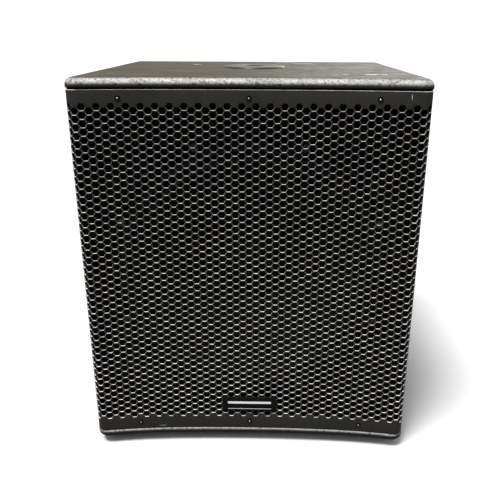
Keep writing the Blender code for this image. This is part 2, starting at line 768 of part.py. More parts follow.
def latch(name, x, place):
    """The push tab above an input socket."""
    middle = (x, SOCKET_Y + 13.4 * MM, PLATE_FRONT + GAP)
    low = (middle[0] - 3 * MM, middle[1] - 1.25 * MM, middle[2])
    high = (middle[0] + 3 * MM, middle[1] + 1.25 * MM, middle[2] + 4.5 * MM)
    box(name, low, high, "black_plastic", place)


def inlet(place):
    """The three-pin mains inlet: a flanged box with a deep mouth and three blades."""
    spot = (*INLET_SPOT, PLATE_FRONT + GAP)
    body = lofted_mesh(
        "mains_inlet",
        [
            (rounded_rectangle(24.6 * MM, 16.6 * MM, 2.5 * MM, 2), -14 * MM),
            (rounded_rectangle(24.6 * MM, 16.6 * MM, 2.5 * MM, 2), 2.5 * MM),
            (rounded_rectangle(50 * MM, 30 * MM, 3 * MM, 2), 2.5 * MM),
            (rounded_rectangle(50 * MM, 30 * MM, 3 * MM, 2), 0),
            (rounded_rectangle(*INLET_BODY, 2 * MM, 2), 0),
            (rounded_rectangle(*INLET_BODY, 2 * MM, 2), -18 * MM),
        ],
    )
    obj = add("mains_inlet", body, "black_plastic", place, spot)
    bm = bmesh.new()
    for x, y in ((0, 4 * MM), (-7 * MM, 0), (7 * MM, 0)):
        blade = Matrix.Translation((x, y, -9 * MM)) @ Matrix.Diagonal((2 * MM, 4 * MM, 14 * MM, 1))
        bmesh.ops.create_cube(bm, size=1, matrix=blade)
    combine(obj, "UNION", helper("inlet_blades", mesh_of("inlet_blades", bm), obj))


def rocker_switch(place):
    """The mains switch: a frame and a rocker that tips about a level axis."""
    spot = (*SWITCH_SPOT, PLATE_FRONT + GAP)
    mouth = rounded_rectangle(15 * MM, 24.4 * MM, 1 * MM, 1)
    body = lofted_mesh(
        "switch_frame",
        [
            (mouth, -9 * MM),
            (mouth, 2.5 * MM),
            (rounded_rectangle(26 * MM, 33 * MM, 2 * MM, 1), 2.5 * MM),
            (rounded_rectangle(26 * MM, 33 * MM, 2 * MM, 1), 0),
            (rounded_rectangle(*SWITCH_BODY, 1.5 * MM, 1), 0),
            (rounded_rectangle(*SWITCH_BODY, 1.5 * MM, 1), -14 * MM),
        ],
    )
    add("switch_frame", body, "black_plastic", place, spot)
    outline = [
        (-9 * MM, -3 * MM), (-3 * MM, -6 * MM), (3 * MM, -6 * MM), (9 * MM, -3 * MM),
        (10.5 * MM, 6 * MM), (0, 3.5 * MM), (-10.5 * MM, 6 * MM),
    ]
    mesh = prism_mesh("power_rocker", outline, -7 * MM, 7 * MM)
    # outline X becomes local Y and outline Y becomes local Z, so the rocker's axis is local X
    mesh.transform(Matrix(((0, 0, 1, 0), (1, 0, 0, 0), (0, 1, 0, 0), (0, 0, 0, 1))))
    obj = add("power_rocker", mesh, "black_plastic", place, spot)
    obj.rotation_euler.x = math.radians(-ROCKER_TILT)


def knob(name, x, place):
    """A knob with a skirt, a flat pointer side and a shaft through the plate."""
    profile = [
        (0, 15 * MM), (5.6 * MM, 15 * MM), (6.4 * MM, 14.2 * MM), (7.2 * MM, 3 * MM), (8.6 * MM, 2.2 * MM),
        (8.6 * MM, 0.6 * MM), (3 * MM, 0.6 * MM), (3 * MM, -9 * MM), (0, -9 * MM),
    ]
    obj = turned(name, profile, "black_plastic", place, (x, CONTROL_Y, PLATE_FRONT), segments=18)
    mesh, centre = box_mesh(name, (-0.5 * MM, 3 * MM, 13.8 * MM), (0.5 * MM, 8 * MM, 16 * MM))
    groove = helper(name + "_pointer", mesh, obj)
    groove.location = centre
    combine(obj, "DIFFERENCE", groove)


def electronics(place):
    """Boards, transformer and capacitor in the amplifier box."""
    half = AMP_BOX[0] / 2 - 8 * MM
    top = AMP_BOX[1] / 2 - 8 * MM
    thick = 1.6 * MM
    box("amp_board", (-half, -top, BOARD_Z - thick), (half, -3 * MM, BOARD_Z), "green_board", place)
    box("supply_board", (-half, 3 * MM, BOARD_Z - thick), (half, top, BOARD_Z), "green_board", place)
    back = BOARD_Z - thick - GAP
    turned(
        "transformer",
        [(34 * MM, back), (34 * MM, back - 34 * MM), (11 * MM, back - 34 * MM), (11 * MM, back)],
        "copper", place, (-48 * MM, 75 * MM, 0), segments=24,
    )
    can = rod_mesh("main_capacitor", 17 * MM, back - 42 * MM, back, 20)
    add("main_capacitor", can, "black_plastic", place, (40 * MM, 75 * MM, 0))


def amp_cover(place):
    """A sheet box, open towards the plate, with a hole for the lead."""
    width, height, depth = AMP_BOX
    low = (-width / 2, -height / 2, -depth)
    high = (width / 2, height / 2, -GAP)
    obj = box("amp_cover", low, high, "black_steel", place)
    inner_low = [a + AMP_SHEET for a in low]
    inner_high = (high[0] - AMP_SHEET, high[1] - AMP_SHEET, 10 * MM)
    mesh, centre = box_mesh("amp_cover_inside", inner_low, inner_high)
    inside = helper("amp_cover_inside", mesh, place)
    inside.location = centre
    combine(obj, "DIFFERENCE", inside)
    hole = rod_mesh("lead_hole", 6 * MM, -depth - 5 * MM, -depth + 5 * MM, 12)
    hole.transform(Matrix.Translation((-60 * MM, LEAD_Z - AMP_Z, 0)))
    combine(obj, "DIFFERENCE", helper("lead_hole", hole, place))


def amplifier(rear_panel):
    """The amplifier module in the rear panel."""
    place = frame("amp_place", (0, REAR_FACE_Y, AMP_Z), (0, 1, 0))
    width, height, _ = AMP_PLATE
    plate = prism_mesh("amp_plate", rounded_rectangle(width, height, 6 * MM, 3), GAP, PLATE_FRONT)
    obj = add("amp_plate", plate, "black_steel", place)
    combine(obj, "DIFFERENCE", amp_openings(place))
    combine(obj, "DIFFERENCE", latch_openings(place))
    cover_w, cover_h = AMP_BOX[0] / 2 + 3 * MM, AMP_BOX[1] / 2 + 3 * MM
    mesh, _ = box_mesh("amp_cutout", (-cover_w, -cover_h, -50 * MM), (cover_w, cover_h, 50 * MM))
    combine(rear_panel, "DIFFERENCE", helper("amp_cutout", mesh, place))
    amp_cover(place)
    heat_sink(place)
    electronics(place)
    names = ("input_socket_left", "input_socket_right", "output_socket_left", "output_socket_right")
    for name, x in zip(names, SOCKET_X):
        socket(name, x, place, pins=name.startswith("output"))
    latch("input_latch_left", SOCKET_X[0], place)
    latch("input_latch_right", SOCKET_X[1], place)
    inlet(place)
    rocker_switch(place)
    for name, x in KNOB_X.items():
        knob(name, x, place)
    profile = [
        (0, 8 * MM), (3.8 * MM, 8 * MM), (4.5 * MM, 7.3 * MM), (4.5 * MM, -6 * MM), (0, -6 * MM),
    ]
    spot = (BUTTON_X, CONTROL_Y, PLATE_FRONT)
    turned("phase_button", profile, "grey_plastic", place, spot, segments=16)
    outline = rounded_rectangle(*LENS_SIZE, 1 * MM, 2)
    lens = prism_mesh("status_lens", outline, -4 * MM, PLATE_FRONT + 1 * MM)
    add("status_lens", lens, "lens", place, (LENS_X, CONTROL_Y, 0))


# Handles, pole socket, feet ------------------------------------------------------------------------


def handle(name_end, side, panel):
    """A recessed handle: a cup let into the side panel and a round grip across it."""
    along, height = HANDLE_SPOT
    place = frame("handle_place_" + name_end, (side * HALF_WIDTH, along, height), (side, 0, 0))
    floor = -HANDLE_DEPTH
    wall = 2.5 * MM
    sections = [
        (rounded_rectangle(180 * MM, 70 * MM, 15 * MM), floor),
        (rounded_rectangle(200 * MM, 88 * MM, 20 * MM), 0),
        (rounded_rectangle(236 * MM, 124 * MM, 20 * MM), 0),
        (rounded_rectangle(236 * MM, 124 * MM, 20 * MM), -wall),
        (rounded_rectangle(205 * MM, 93 * MM, 22 * MM), -wall),
        (rounded_rectangle(185 * MM, 75 * MM, 17 * MM), floor - wall),
    ]
    cup = lofted_mesh("handle_cup_" + name_end, sections)
    add("handle_cup_" + name_end, cup, "black_plastic", place)
    outline = rounded_rectangle(208 * MM, 96 * MM, 23 * MM)
    cutout = prism_mesh("handle_cutout", outline, -30 * MM, 10 * MM)
    outline = rounded_rectangle(236.8 * MM, 124.8 * MM, 20 * MM)
    rebate = prism_mesh("handle_rebate", outline, -wall - GAP, 10 * MM)
    combine(panel, "DIFFERENCE", helper("handle_cutout_" + name_end, cutout, place))
    combine(panel, "DIFFERENCE", helper("handle_rebate_" + name_end, rebate, place))
    half, thin = 96 * MM, GRIP_RADIUS - 3 * MM
    profile = [(0, half), (thin, half), (thin, half - 12 * MM), (GRIP_RADIUS, half - 18 * MM)]
    profile += [(r, -z) for r, z in reversed(profile)]
    spot = (0, 0, -GRIP_DEPTH)
    grip = turned("handle_grip_" + name_end, profile, "black_plastic", place, spot, segments=20)
    grip.rotation_euler.y = math.pi / 2


def pole_socket():
    """The flanged cup for a 35 mm pole. Returns its outer radius below the flange."""
    outer, depth, flange = POLE_BORE_RADIUS + 4 * MM, 80 * MM, 3 * MM
    bore = POLE_BORE_RADIUS
    profile = [
        (0, -depth + 3 * MM), (bore, -depth + 3 * MM), (bore, flange),
        (POLE_FLANGE_RADIUS - 2 * MM, flange), (POLE_FLANGE_RADIUS, 1 * MM), (POLE_FLANGE_RADIUS, 0),
        (outer, 0), (outer, -depth), (0, -depth),
    ]
    spot = (0, POLE_Y, TOP_Z + GAP)
    turned("pole_socket", profile, "black_aluminium", None, spot)
    return outer


def foot(name, x, y):
    """A rubber foot with a recess for its screw."""
    profile = [
        (FOOT_RADIUS, FOOT_HEIGHT - GAP), (FOOT_RADIUS, 8 * MM), (17 * MM, 0), (7 * MM, 0), (7 * MM, 6 * MM),
        (2.6 * MM, 6 * MM), (2.6 * MM, FOOT_HEIGHT - GAP),
    ]
    return turned(name, profile, "rubber", None, (x, y, 0), segments=20)


def fittings(pieces):
    """Handles, pole socket and feet."""
    handle("left", -1, pieces["left"])
    handle("right", 1, pieces["right"])
    hole = rod_mesh("pole_hole", pole_socket() + GAP, -40 * MM, 40 * MM, 32)
    hole.transform(Matrix.Translation((0, POLE_Y, TOP_Z)))
    combine(pieces["top"], "DIFFERENCE", helper("pole_hole", hole))
    for end, y in (("front", FRONT_Y + FOOT_INSET), ("rear", REAR_Y - FOOT_INSET)):
        for side, x in (("left", FOOT_INSET - HALF_WIDTH), ("right", HALF_WIDTH - FOOT_INSET)):
            foot("foot_" + end + "_" + side, x, y)


def main():
    for obj in list(bpy.data.objects):
        bpy.data.objects.remove(obj)
    bpy.context.scene.collection.children.link(PARTS)
    bpy.context.scene.collection.children.link(CUTTERS)
    pieces = cabinet()
    grille()
    woofer()
    amplifier(pieces["rear"])
    fittings(pieces)


main()
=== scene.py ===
"""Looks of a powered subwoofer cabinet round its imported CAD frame. Metres, +Z up, grille towards -Y."""

import math
import random

import bmesh
import bpy
import numpy as np
from mathutils import Matrix, Vector


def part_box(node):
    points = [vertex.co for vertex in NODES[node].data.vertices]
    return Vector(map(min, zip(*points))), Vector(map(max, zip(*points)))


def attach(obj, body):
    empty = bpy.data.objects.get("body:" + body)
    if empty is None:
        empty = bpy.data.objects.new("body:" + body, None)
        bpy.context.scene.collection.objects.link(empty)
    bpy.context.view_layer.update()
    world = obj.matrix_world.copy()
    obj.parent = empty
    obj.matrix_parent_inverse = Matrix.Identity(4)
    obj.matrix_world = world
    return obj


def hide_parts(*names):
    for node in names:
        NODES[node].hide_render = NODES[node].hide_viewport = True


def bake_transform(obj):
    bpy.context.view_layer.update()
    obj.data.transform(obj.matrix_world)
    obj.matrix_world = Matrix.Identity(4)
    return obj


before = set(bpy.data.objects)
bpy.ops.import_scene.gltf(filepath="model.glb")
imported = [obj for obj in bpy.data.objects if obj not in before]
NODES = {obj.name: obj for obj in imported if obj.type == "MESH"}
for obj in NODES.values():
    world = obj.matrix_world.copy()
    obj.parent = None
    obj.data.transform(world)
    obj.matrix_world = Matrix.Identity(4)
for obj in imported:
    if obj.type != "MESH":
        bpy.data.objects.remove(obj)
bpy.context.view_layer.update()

MM = 0.001
UP = Vector((0, 0, 1))
FRONT = Vector((0, -1, 0))
REAR = Vector((0, 1, 0))

# Camera: place, then turns about Z, X and Z again, in degrees
CAMERA_SPOT = (0.0325, -1.156, 0.6741)
CAMERA_TURNS = (0.949, 69.725, 0.236)
CAMERA_LENS = 44.71
CAMERA_SHIFT = (-0.0205, 0.0208)

# The hollow front: its face line across the cabinet
FRONT_MIDDLE_Y = -243.5 * MM
BOW_SPAN = 259.8 * MM
BOW_SQUARE = 9.6 * MM
BOW_FOURTH = 7.9 * MM

# Grille sheet and its hexagonal holes
SHEET = 1.5 * MM
BEND_RADIUS = 12 * MM
SHEET_RETURN = 8 * MM
HOLE_PITCH = 12 * MM
HOLE_ACROSS = 10 * MM
OUTER_COLUMN = 25  # columns are numbered from the middle, and odd ones have one hole more
ODD_COLUMN_HOLES = 44
COLUMN_PITCH = HOLE_PITCH * math.sqrt(3) / 2
CELL = HOLE_PITCH / math.sqrt(3)  # from a hole's middle to a corner of its cell
PATTERN_Z = 313.6 * MM
BEND_FACET = 2.4 * MM
SHEET_LINE_STEPS = 399  # along the hollow part of the sheet's line
SHEET_BEND_STEPS = 79

# Panels
PANEL_ROUNDING = 10 * MM
FRONT_CORNER_RADIUS = 18 * MM
REAR_CORNER_RADIUS = 14 * MM
POLE_BORE_RADIUS = 17.7 * MM
POLE_HOLE_RADIUS = 22 * MM
EDGE_EASE = 2.2 * MM  # the small rounding where a panel meets the grille and the sides
PANEL_STEPS = {"front": 40, "front corner": 12, "side": 24, "rear corner": 8, "rounding": 10}

# Scuffs: middle, half sizes, and turn about Z in degrees
TOP_SCUFFS = (
    ((0.186, -0.160, 0.612), (0.034, 0.018, 0.002), 3),
    ((0.206, -0.154, 0.612), (0.015, 0.014, 0.002), 8),
    ((0.146, -0.163, 0.612), (0.015, 0.010, 0.002), -4),
    ((0.097, 0.170, 0.612), (0.050, 0.016, 0.002), 2),
    ((0.060, 0.205, 0.612), (0.060, 0.013, 0.002), -3),
    ((-0.114, 0.120, 0.612), (0.020, 0.014, 0.002), 20),
    ((-0.060, -0.215, 0.612), (0.016, 0.0012, 0.002), -12),
)
GRILLE_SCUFFS = (
    ((0.230, -0.2565, 0.588), (0.0010, 0.012, 0.0065), 0),
    ((-0.150, -0.248, 0.032), (0.009, 0.012, 0.0014), 0),
)

# Woofer, along its own axis from the baffle's front face
CONE_NECK = (51.5 * MM, -70 * MM)
CONE_SLOPE = 0.589
CONE_RIM = 181 * MM
CONE_SKIN = 1.3 * MM
CAP_RADIUS = 68 * MM
CAP_RISE = 22 * MM
SURROUND = {"start": 181.3, "end": 205, "rim": 6.5, "base": 6.6, "height": 5, "rolls": 3, "skin": 1}
SPIDER = {"start": 51.5, "end": 91, "rim": 10.5, "base": -111.6, "height": 2.2, "rolls": 5, "skin": 0.8}
LEAD_DIAMETER = 6 * MM

# Amplifier, from the middle of its plate as seen from behind
SOCKET_X = (-84 * MM, -28 * MM, 28 * MM, 84 * MM)
SOCKET_Y = -50 * MM
PIN_CIRCLE = 4.5 * MM
CONTROL_Y = 5 * MM
KNOB_X = (-75 * MM, -25 * MM)
BUTTON_X = 25 * MM
LENS_X = 75 * MM
INLET_SPOT = (-60 * MM, -125 * MM)
PLATE_SCREW_X = 113 * MM
PLATE_SCREW_Y = 163 * MM
PARTS_PER_BOARD = 26
BLOCK_SIZES = ((4, 9), (3, 6), (1.5, 6))  # least and most width, height and depth, in millimetres
CAN_SIZES = ((2.5, 5), (6, 14))  # least and most radius and height, in millimetres

# Circles of bolts and screws, and the spread of the handles' screws
BOLT_COUNT = 8
BOLT_CIRCLE = 221.3 * MM
POLE_SCREW_COUNT = 4
POLE_SCREW_CIRCLE = 42 * MM
HANDLE_SCREW_Y = 109 * MM
HANDLE_SCREW_Z = 53 * MM

# Stage
FLOOR_HALF = 40
WALL_RADIUS = 38
WALL_HEIGHT = 80


def centre(node):
    """The middle of a CAD node's box."""
    low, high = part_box(node)
    return (low + high) / 2


def facing(spot, direction):
    """The matrix of a place whose Z points along direction, and whose Y points up when that is level."""
    z = Vector(direction).normalized()
    y = UP if abs(z.z) < 0.9 else REAR
    x = y.cross(z).normalized()
    return Matrix.Translation(spot) @ Matrix((x, z.cross(x), z)).transposed().to_4x4()


# Materials -----------------------------------------------------------------------------------------


class Finish:
    """A Principled material under construction. Its patterns follow the object's own coordinates."""

    def __init__(self, name, roughness=0.5, metallic=0.0, **sockets):
        self.material = bpy.data.materials.new(name)
        self.material.use_nodes = True
        self.tree = self.material.node_tree
        self.shader = self.tree.nodes["Principled BSDF"]
        self.shader.inputs["Roughness"].default_value = roughness
        self.shader.inputs["Metallic"].default_value = metallic
        for socket, value in sockets.items():
            self.shader.inputs[socket.replace("_", " ")].default_value = value
        self.coords = self.tree.nodes.new("ShaderNodeTexCoord").outputs["Object"]
        self.normal = None

    def put(self, node, socket, value):
        """Links or sets an input."""
        if isinstance(value, bpy.types.NodeSocket):
            self.tree.links.new(value, node.inputs[socket])
        elif isinstance(value, tuple) and len(value) == 3 and len(node.inputs[socket].default_value) == 4:
            node.inputs[socket].default_value = (*value, 1)
        else:
            node.inputs[socket].default_value = value

    def node(self, kind, inputs, output=0, **settings):
        """One output of a new node, whose inputs are given by name or number."""
        node = self.tree.nodes.new("ShaderNode" + kind)
        for setting, value in settings.items():
            setattr(node, setting, value)
        for socket, value in inputs.items():
            self.put(node, socket, value)
        return node.outputs[output]

    def noise(self, scale, detail=3.0, rough=0.55, stretch=None):
        """Cloudy noise, its coordinates scaled along each axis by stretch."""
        coords = self.node("Mapping", {"Vector": self.coords, "Scale": stretch}) if stretch else self.coords
        return self.node("TexNoise", {"Vector": coords, "Scale": scale, "Detail": detail, "Roughness": rough})

    def cells(self, scale, feature="F1"):
        """Distance to the nearest of scattered points."""
        return self.node("TexVoronoi", {"Vector": self.coords, "Scale": scale}, feature=feature)

    def waves(self, scale, axis, distortion=0.0):
        """Bands across an axis."""
        inputs = {"Vector": self.coords, "Scale": scale, "Distortion": distortion}
        return self.node("TexWave", inputs, 1, bands_direction=axis)

    def marks(self, spots):
        """Long marks, given as (middle, half sizes, turn about Z in degrees), that fade from 1 inside."""
        total = 0.0
        for middle, sizes, turn in spots:
            place = {"Location": middle, "Rotation": (0, 0, math.radians(turn)), "Scale": sizes}
            local = self.node("Mapping", {"Vector": self.coords, **place}, vector_type="TEXTURE")
            reach = self.node("VectorMath", {0: local}, "Value", operation="LENGTH")
            total = self.maths("MAXIMUM", self.ramp(reach, 0.2, 1.0, 1.0, 0.0), total)
        return total

    def upward(self):
        """How far the surface faces up, from -1 to 1."""
        return self.node("SeparateXYZ", {0: self.node("NewGeometry", {}, "Normal")}, 2)

    def maths(self, operation, first, second=0.0):
        return self.node("Math", {0: first, 1: second}, operation=operation)

    def ramp(self, value, low, high, start=0.0, end=1.0):
        """A smooth step from start to end as value goes from low to high."""
        inputs = dict(enumerate((value, low, high, start, end)))
        return self.node("MapRange", inputs, interpolation_type="SMOOTHSTEP")

    def mix(self, share, first, second):
        """A colour between two."""
        return self.node("Mix", {0: share, 6: first, 7: second}, 2, data_type="RGBA")

    def colour(self, value):
        self.put(self.shader, "Base Color", value)

    def rough(self, value):
        self.put(self.shader, "Roughness", value)

    def bump(self, height, strength, distance=0.3 * MM):
        """Relief on top of any given earlier."""
        inputs = {"Height": height, "Strength": strength, "Distance": distance}
        if self.normal:
            inputs["Normal"] = self.normal
        self.normal = self.node("Bump", inputs)
        self.put(self.shader, "Normal", self.normal)


def grained(name, roughness, colour, rough, bump, **sockets):
    """A material of three noises, each given as (scale, detail, then two values): dark and light colour,
    least and most roughness, and the strength and depth of its bumps."""
    f = Finish(name, roughness, **sockets)
    f.colour(f.mix(f.noise(*colour[:2]), *colour[2:]))
    f.rough(f.ramp(f.noise(*rough[:2]), 0.3, 0.7, *rough[2:]))
    f.bump(f.noise(*bump[:2]), *bump[2:])
    return f.material


def dusted(f, black, most=1.0):
    """Brown dust in blotches on whatever faces up."""
    blotches = f.ramp(f.noise(17, 9, 0.85, stretch=(0.6, 1.3, 1)), 0.40, 0.62, 0.35 * most, most)
    grain = f.ramp(f.noise(260, 4, 0.7), 0.38, 0.62, 0.4, 1.0)
    dust = f.maths("MULTIPLY", f.ramp(f.upward(), 0.7, 0.99), f.maths("MULTIPLY", blotches, grain))
    return f.mix(dust, black, (0.118, 0.096, 0.062))


def edge_wear_and_highlight(f, under):
    """Rubbed paint along upper roundings: chalky wear all over them, which also stands in for part of their
    highlight, and along their crests a painted highlight, nearly white and broken up like wear.
    """
    z = f.upward()
    curve = f.maths("MULTIPLY", f.ramp(z, -0.06, 0.36), f.ramp(z, 0.90, 0.99, 1.0, 0.0))
    chips = f.ramp(f.noise(200, 8, 0.85), 0.43, 0.50)
    chalky = f.mix(f.maths("MULTIPLY", curve, chips), under, (0.30, 0.295, 0.275))
    # Painted highlight: a nearly white band across the middle of each rounding, where the light from above
    # catches it, broken up by noise.
    highlight_crest = f.maths("MULTIPLY", f.ramp(z, 0.1, 0.45), f.ramp(z, 0.72, 0.92, 1.0, 0.0))
    stretches = f.ramp(f.noise(13, 5, 0.7), 0.36, 0.60, 0.35, 1.0)
    grains = f.ramp(f.noise(230, 8, 0.85), 0.43, 0.55)
    worn = f.maths("MULTIPLY", f.maths("MULTIPLY", highlight_crest, stretches), grains)
    return f.mix(worn, chalky, (0.60, 0.59, 0.56))


def cabinet_paint():
    """Black textured coating: pebbled, dusty and scuffed where it faces up, made near black by painted shade
    where it faces down, and worn pale on its roundings with a painted highlight along their crests.
    """
    f = Finish(
        "cabinet_paint", roughness=0.5, Specular_IOR_Level=0.17,
        Sheen_Weight=0.09, Sheen_Roughness=0.45, Sheen_Tint=(1.0, 0.93, 0.80, 1),
    )
    pebbles = f.ramp(f.cells(430, "SMOOTH_F1"), 0.12, 0.5)
    hollows = f.mix(f.noise(9, 4), (0.006, 0.006, 0.006), (0.013, 0.0125, 0.012))
    skin = f.mix(pebbles, (0.024, 0.0235, 0.023), hollows)
    # Painted shade: faces turned down, such as the bottom panel's lower rounding, are made near black.
    black = f.mix(f.ramp(f.upward(), -0.7, -0.05), (0.002, 0.002, 0.002), skin)
    # rubbed holds the dust, the chalky wear and the painted highlight along the roundings' crests.
    rubbed = edge_wear_and_highlight(f, dusted(f, black))
    scratches = f.noise(420, 7, 0.85, stretch=(0.12, 1, 1))
    scuffs = f.ramp(f.maths("MULTIPLY", f.marks(TOP_SCUFFS), scratches), 0.40, 0.50)
    f.colour(f.mix(scuffs, rubbed, (0.72, 0.69, 0.61)))
    f.rough(f.ramp(f.noise(40, 5), 0.3, 0.75, 0.40, 0.62))
    f.bump(f.cells(430, "SMOOTH_F1"), 0.55, 0.5 * MM)
    f.bump(f.noise(1300, 3), 0.25, 0.25 * MM)
    return f.material


def pole_metal():
    """Dark cast metal of the pole's flange, as dusty as the panel round it."""
    f = Finish(
        "pole_metal", roughness=0.35, Specular_IOR_Level=0.5,
        Sheen_Weight=0.35, Sheen_Roughness=0.45, Sheen_Tint=(1.0, 0.93, 0.80, 1),
    )
    black = f.mix(f.noise(60, 4), (0.026, 0.0253, 0.024), (0.066, 0.064, 0.060))
    f.colour(dusted(f, black, 0.9))
    f.rough(f.ramp(f.noise(70, 5), 0.3, 0.75, 0.26, 0.45))
    f.bump(f.noise(900, 3), 0.2, 0.2 * MM)
    return f.material


def grille_paint():
    """Satin black on formed steel, with pale dust and a painted highlight on the upper lips of its holes, and
    a few rubbed spots.
    """
    f = Finish("grille_paint", roughness=0.35, Specular_IOR_Level=0.25)
    black = f.mix(f.noise(11, 5), (0.013, 0.013, 0.0122), (0.037, 0.036, 0.0333))
    rubbed = f.ramp(f.noise(150, 6, 0.8), 0.58, 0.78, 0.0, 0.5)
    dull = f.mix(rubbed, black, (0.075, 0.072, 0.067))
    patches = f.ramp(f.noise(35, 5, 0.7), 0.25, 0.7, 0.45, 1.0)
    # Painted highlight and dust: lips that face up are made nearly white, for the light from above that
    # catches them.
    lips = f.maths("MULTIPLY", f.ramp(f.upward(), 0.25, 0.75), patches)
    dusty = f.mix(lips, dull, (0.86, 0.85, 0.80))
    scuffs = f.maths("MULTIPLY", f.marks(GRILLE_SCUFFS), f.ramp(f.noise(700, 5, 0.7), 0.4, 0.55))
    f.colour(f.mix(scuffs, dusty, (0.5, 0.49, 0.47)))
    f.rough(f.ramp(f.noise(60, 5), 0.3, 0.7, 0.27, 0.42))
    f.bump(f.noise(900, 3), 0.10, 0.12 * MM)
    return f.material


def inner_black():
    """Flat black brushed on the wood behind the grille, with faint strokes."""
    f = Finish("inner_black", roughness=0.85, Specular_IOR_Level=0.03)
    f.colour(f.mix(f.noise(30, 4, stretch=(1, 1, 6)), (0.004, 0.0039, 0.0038), (0.009, 0.0087, 0.0084)))
    f.rough(f.ramp(f.noise(90, 4), 0.3, 0.7, 0.75, 0.95))
    f.bump(f.noise(400, 3, stretch=(1, 1, 5)), 0.2)
    return f.material


def port_black():
    """Thin flat black on the port, the rails and the panels' inner faces, with the grain just showing. It is
    also painted shade on the side panels' front ends, under the top panel's rim and round the grille screws.
    """
    f = Finish("port_black", roughness=0.9, Specular_IOR_Level=0.03)
    grain = f.noise(70, 6, 0.7, stretch=(1, 5, 5))
    f.colour(f.mix(grain, (0.002, 0.002, 0.002), (0.007, 0.0066, 0.006)))
    f.rough(f.ramp(grain, 0.3, 0.7, 0.8, 0.95))
    f.bump(grain, 0.3, 0.3 * MM)
    return f.material


def raw_plywood():
    """Birch plywood: long grain in the faces, and thin plies across the edges."""
    f = Finish("raw_plywood", roughness=0.75)
    grain = f.noise(60, 6, 0.7, stretch=(1, 6, 6))
    pale = f.mix(grain, (0.30, 0.19, 0.10), (0.52, 0.37, 0.22))
    plies = f.waves(110, "Z", 1.0)
    f.colour(f.mix(f.maths("MULTIPLY", plies, 0.35), pale, (0.20, 0.12, 0.06)))
    f.rough(f.ramp(grain, 0.3, 0.7, 0.65, 0.85))
    f.bump(grain, 0.2, 0.3 * MM)
    return f.material


def black_steel():
    """Powder-coated steel, faintly pebbled and rubbed."""
    colour = (25, 5, (0.012, 0.012, 0.0123), (0.03, 0.03, 0.03))
    rough, bump = (80, 4, 0.38, 0.55), (1500, 2, 0.18, 0.15 * MM)
    return grained("black_steel", 0.45, colour, rough, bump, Specular_IOR_Level=0.4)


def bright_screw():
    """Zinc-plated steel with fine handling scratches."""
    colour = (600, 5, (0.45, 0.45, 0.44), (0.85, 0.84, 0.82))
    rough, bump = (700, 4, 0.18, 0.35), (1600, 2, 0.1, 0.1 * MM)
    return grained("bright_screw", 0.25, colour, rough, bump, metallic=1.0)


def screw_metal():
    """Black oxide on screws, rubbed thin in places."""
    f = Finish("screw_metal", roughness=0.35, metallic=0.9)
    f.colour(f.mix(f.ramp(f.noise(700, 5, 0.7), 0.4, 0.65), (0.035, 0.035, 0.037), (0.28, 0.27, 0.26)))
    f.rough(f.ramp(f.noise(500, 4), 0.3, 0.7, 0.25, 0.5))
    f.bump(f.noise(1800, 2), 0.15, 0.1 * MM)
    return f.material


def ferrite():
    """A pressed magnet: dark grey, chalky, with small chips."""
    f = Finish("ferrite", roughness=0.6)
    f.colour(f.mix(f.noise(45, 6, 0.7), (0.035, 0.035, 0.04), (0.085, 0.085, 0.09)))
    f.rough(f.ramp(f.noise(200, 4), 0.3, 0.7, 0.5, 0.75))
    f.bump(f.cells(260), 0.25, 0.4 * MM)
    return f.material


def cone_paper():
    """Coated paper with visible fibres."""
    f = Finish("cone_paper", roughness=0.8, Specular_IOR_Level=0.08)
    fibres = f.noise(500, 6, 0.75, stretch=(1, 1, 2.5))
    f.colour(f.mix(fibres, (0.0015, 0.0015, 0.0015), (0.006, 0.0058, 0.0056)))
    f.rough(f.ramp(fibres, 0.3, 0.7, 0.65, 0.9))
    f.bump(fibres, 0.5, 0.4 * MM)
    f.bump(f.cells(150), 0.15, 0.4 * MM)
    return f.material


def treated_cloth():
    """Doped cloth of the surround and spider: a fine square weave under a dull film."""
    f = Finish("treated_cloth", roughness=0.7, Specular_IOR_Level=0.12)
    weave = f.maths("MULTIPLY", f.waves(420, "X"), f.waves(420, "Z"))
    f.colour(f.mix(weave, (0.003, 0.003, 0.003), (0.010, 0.0097, 0.0094)))
    f.rough(f.ramp(f.noise(70, 3), 0.3, 0.7, 0.6, 0.85))
    f.bump(weave, 0.4, 0.3 * MM)
    return f.material


def foam_rubber():
    """Open-pored black foam, a little dusty on its strands."""
    f = Finish("foam_rubber", roughness=0.95, Specular_IOR_Level=0.0)
    pores = f.cells(650)
    strands = f.maths("MULTIPLY", f.ramp(pores, 0.45, 0.8), f.ramp(f.noise(300, 4), 0.45, 0.6))
    f.colour(f.mix(strands, (0.003, 0.003, 0.003), (0.016, 0.0155, 0.015)))
    f.rough(f.ramp(pores, 0.0, 0.5, 1.0, 0.85))
    f.bump(pores, 0.7, 0.5 * MM)
    return f.material


def moulded_plastic(name, dark, light, gloss=0.5):
    """Injection-moulded plastic with a fine etched grain."""
    rough, bump = (120, 4, 0.38, 0.56), (1600, 2, 0.22, 0.15 * MM)
    return grained(name, 0.45, (30, 4, dark, light), rough, bump, Specular_IOR_Level=gloss)


def wound_copper():
    """Enamelled wire wound in close turns."""
    f = Finish("wound_copper", roughness=0.35, metallic=1.0)
    turns = f.waves(220, "DIAGONAL", 0.6)
    f.colour(f.mix(turns, (0.25, 0.09, 0.03), (0.80, 0.42, 0.20)))
    f.rough(f.ramp(f.noise(90), 0.3, 0.7, 0.28, 0.5))
    f.bump(turns, 0.6, 0.4 * MM)
    return f.material


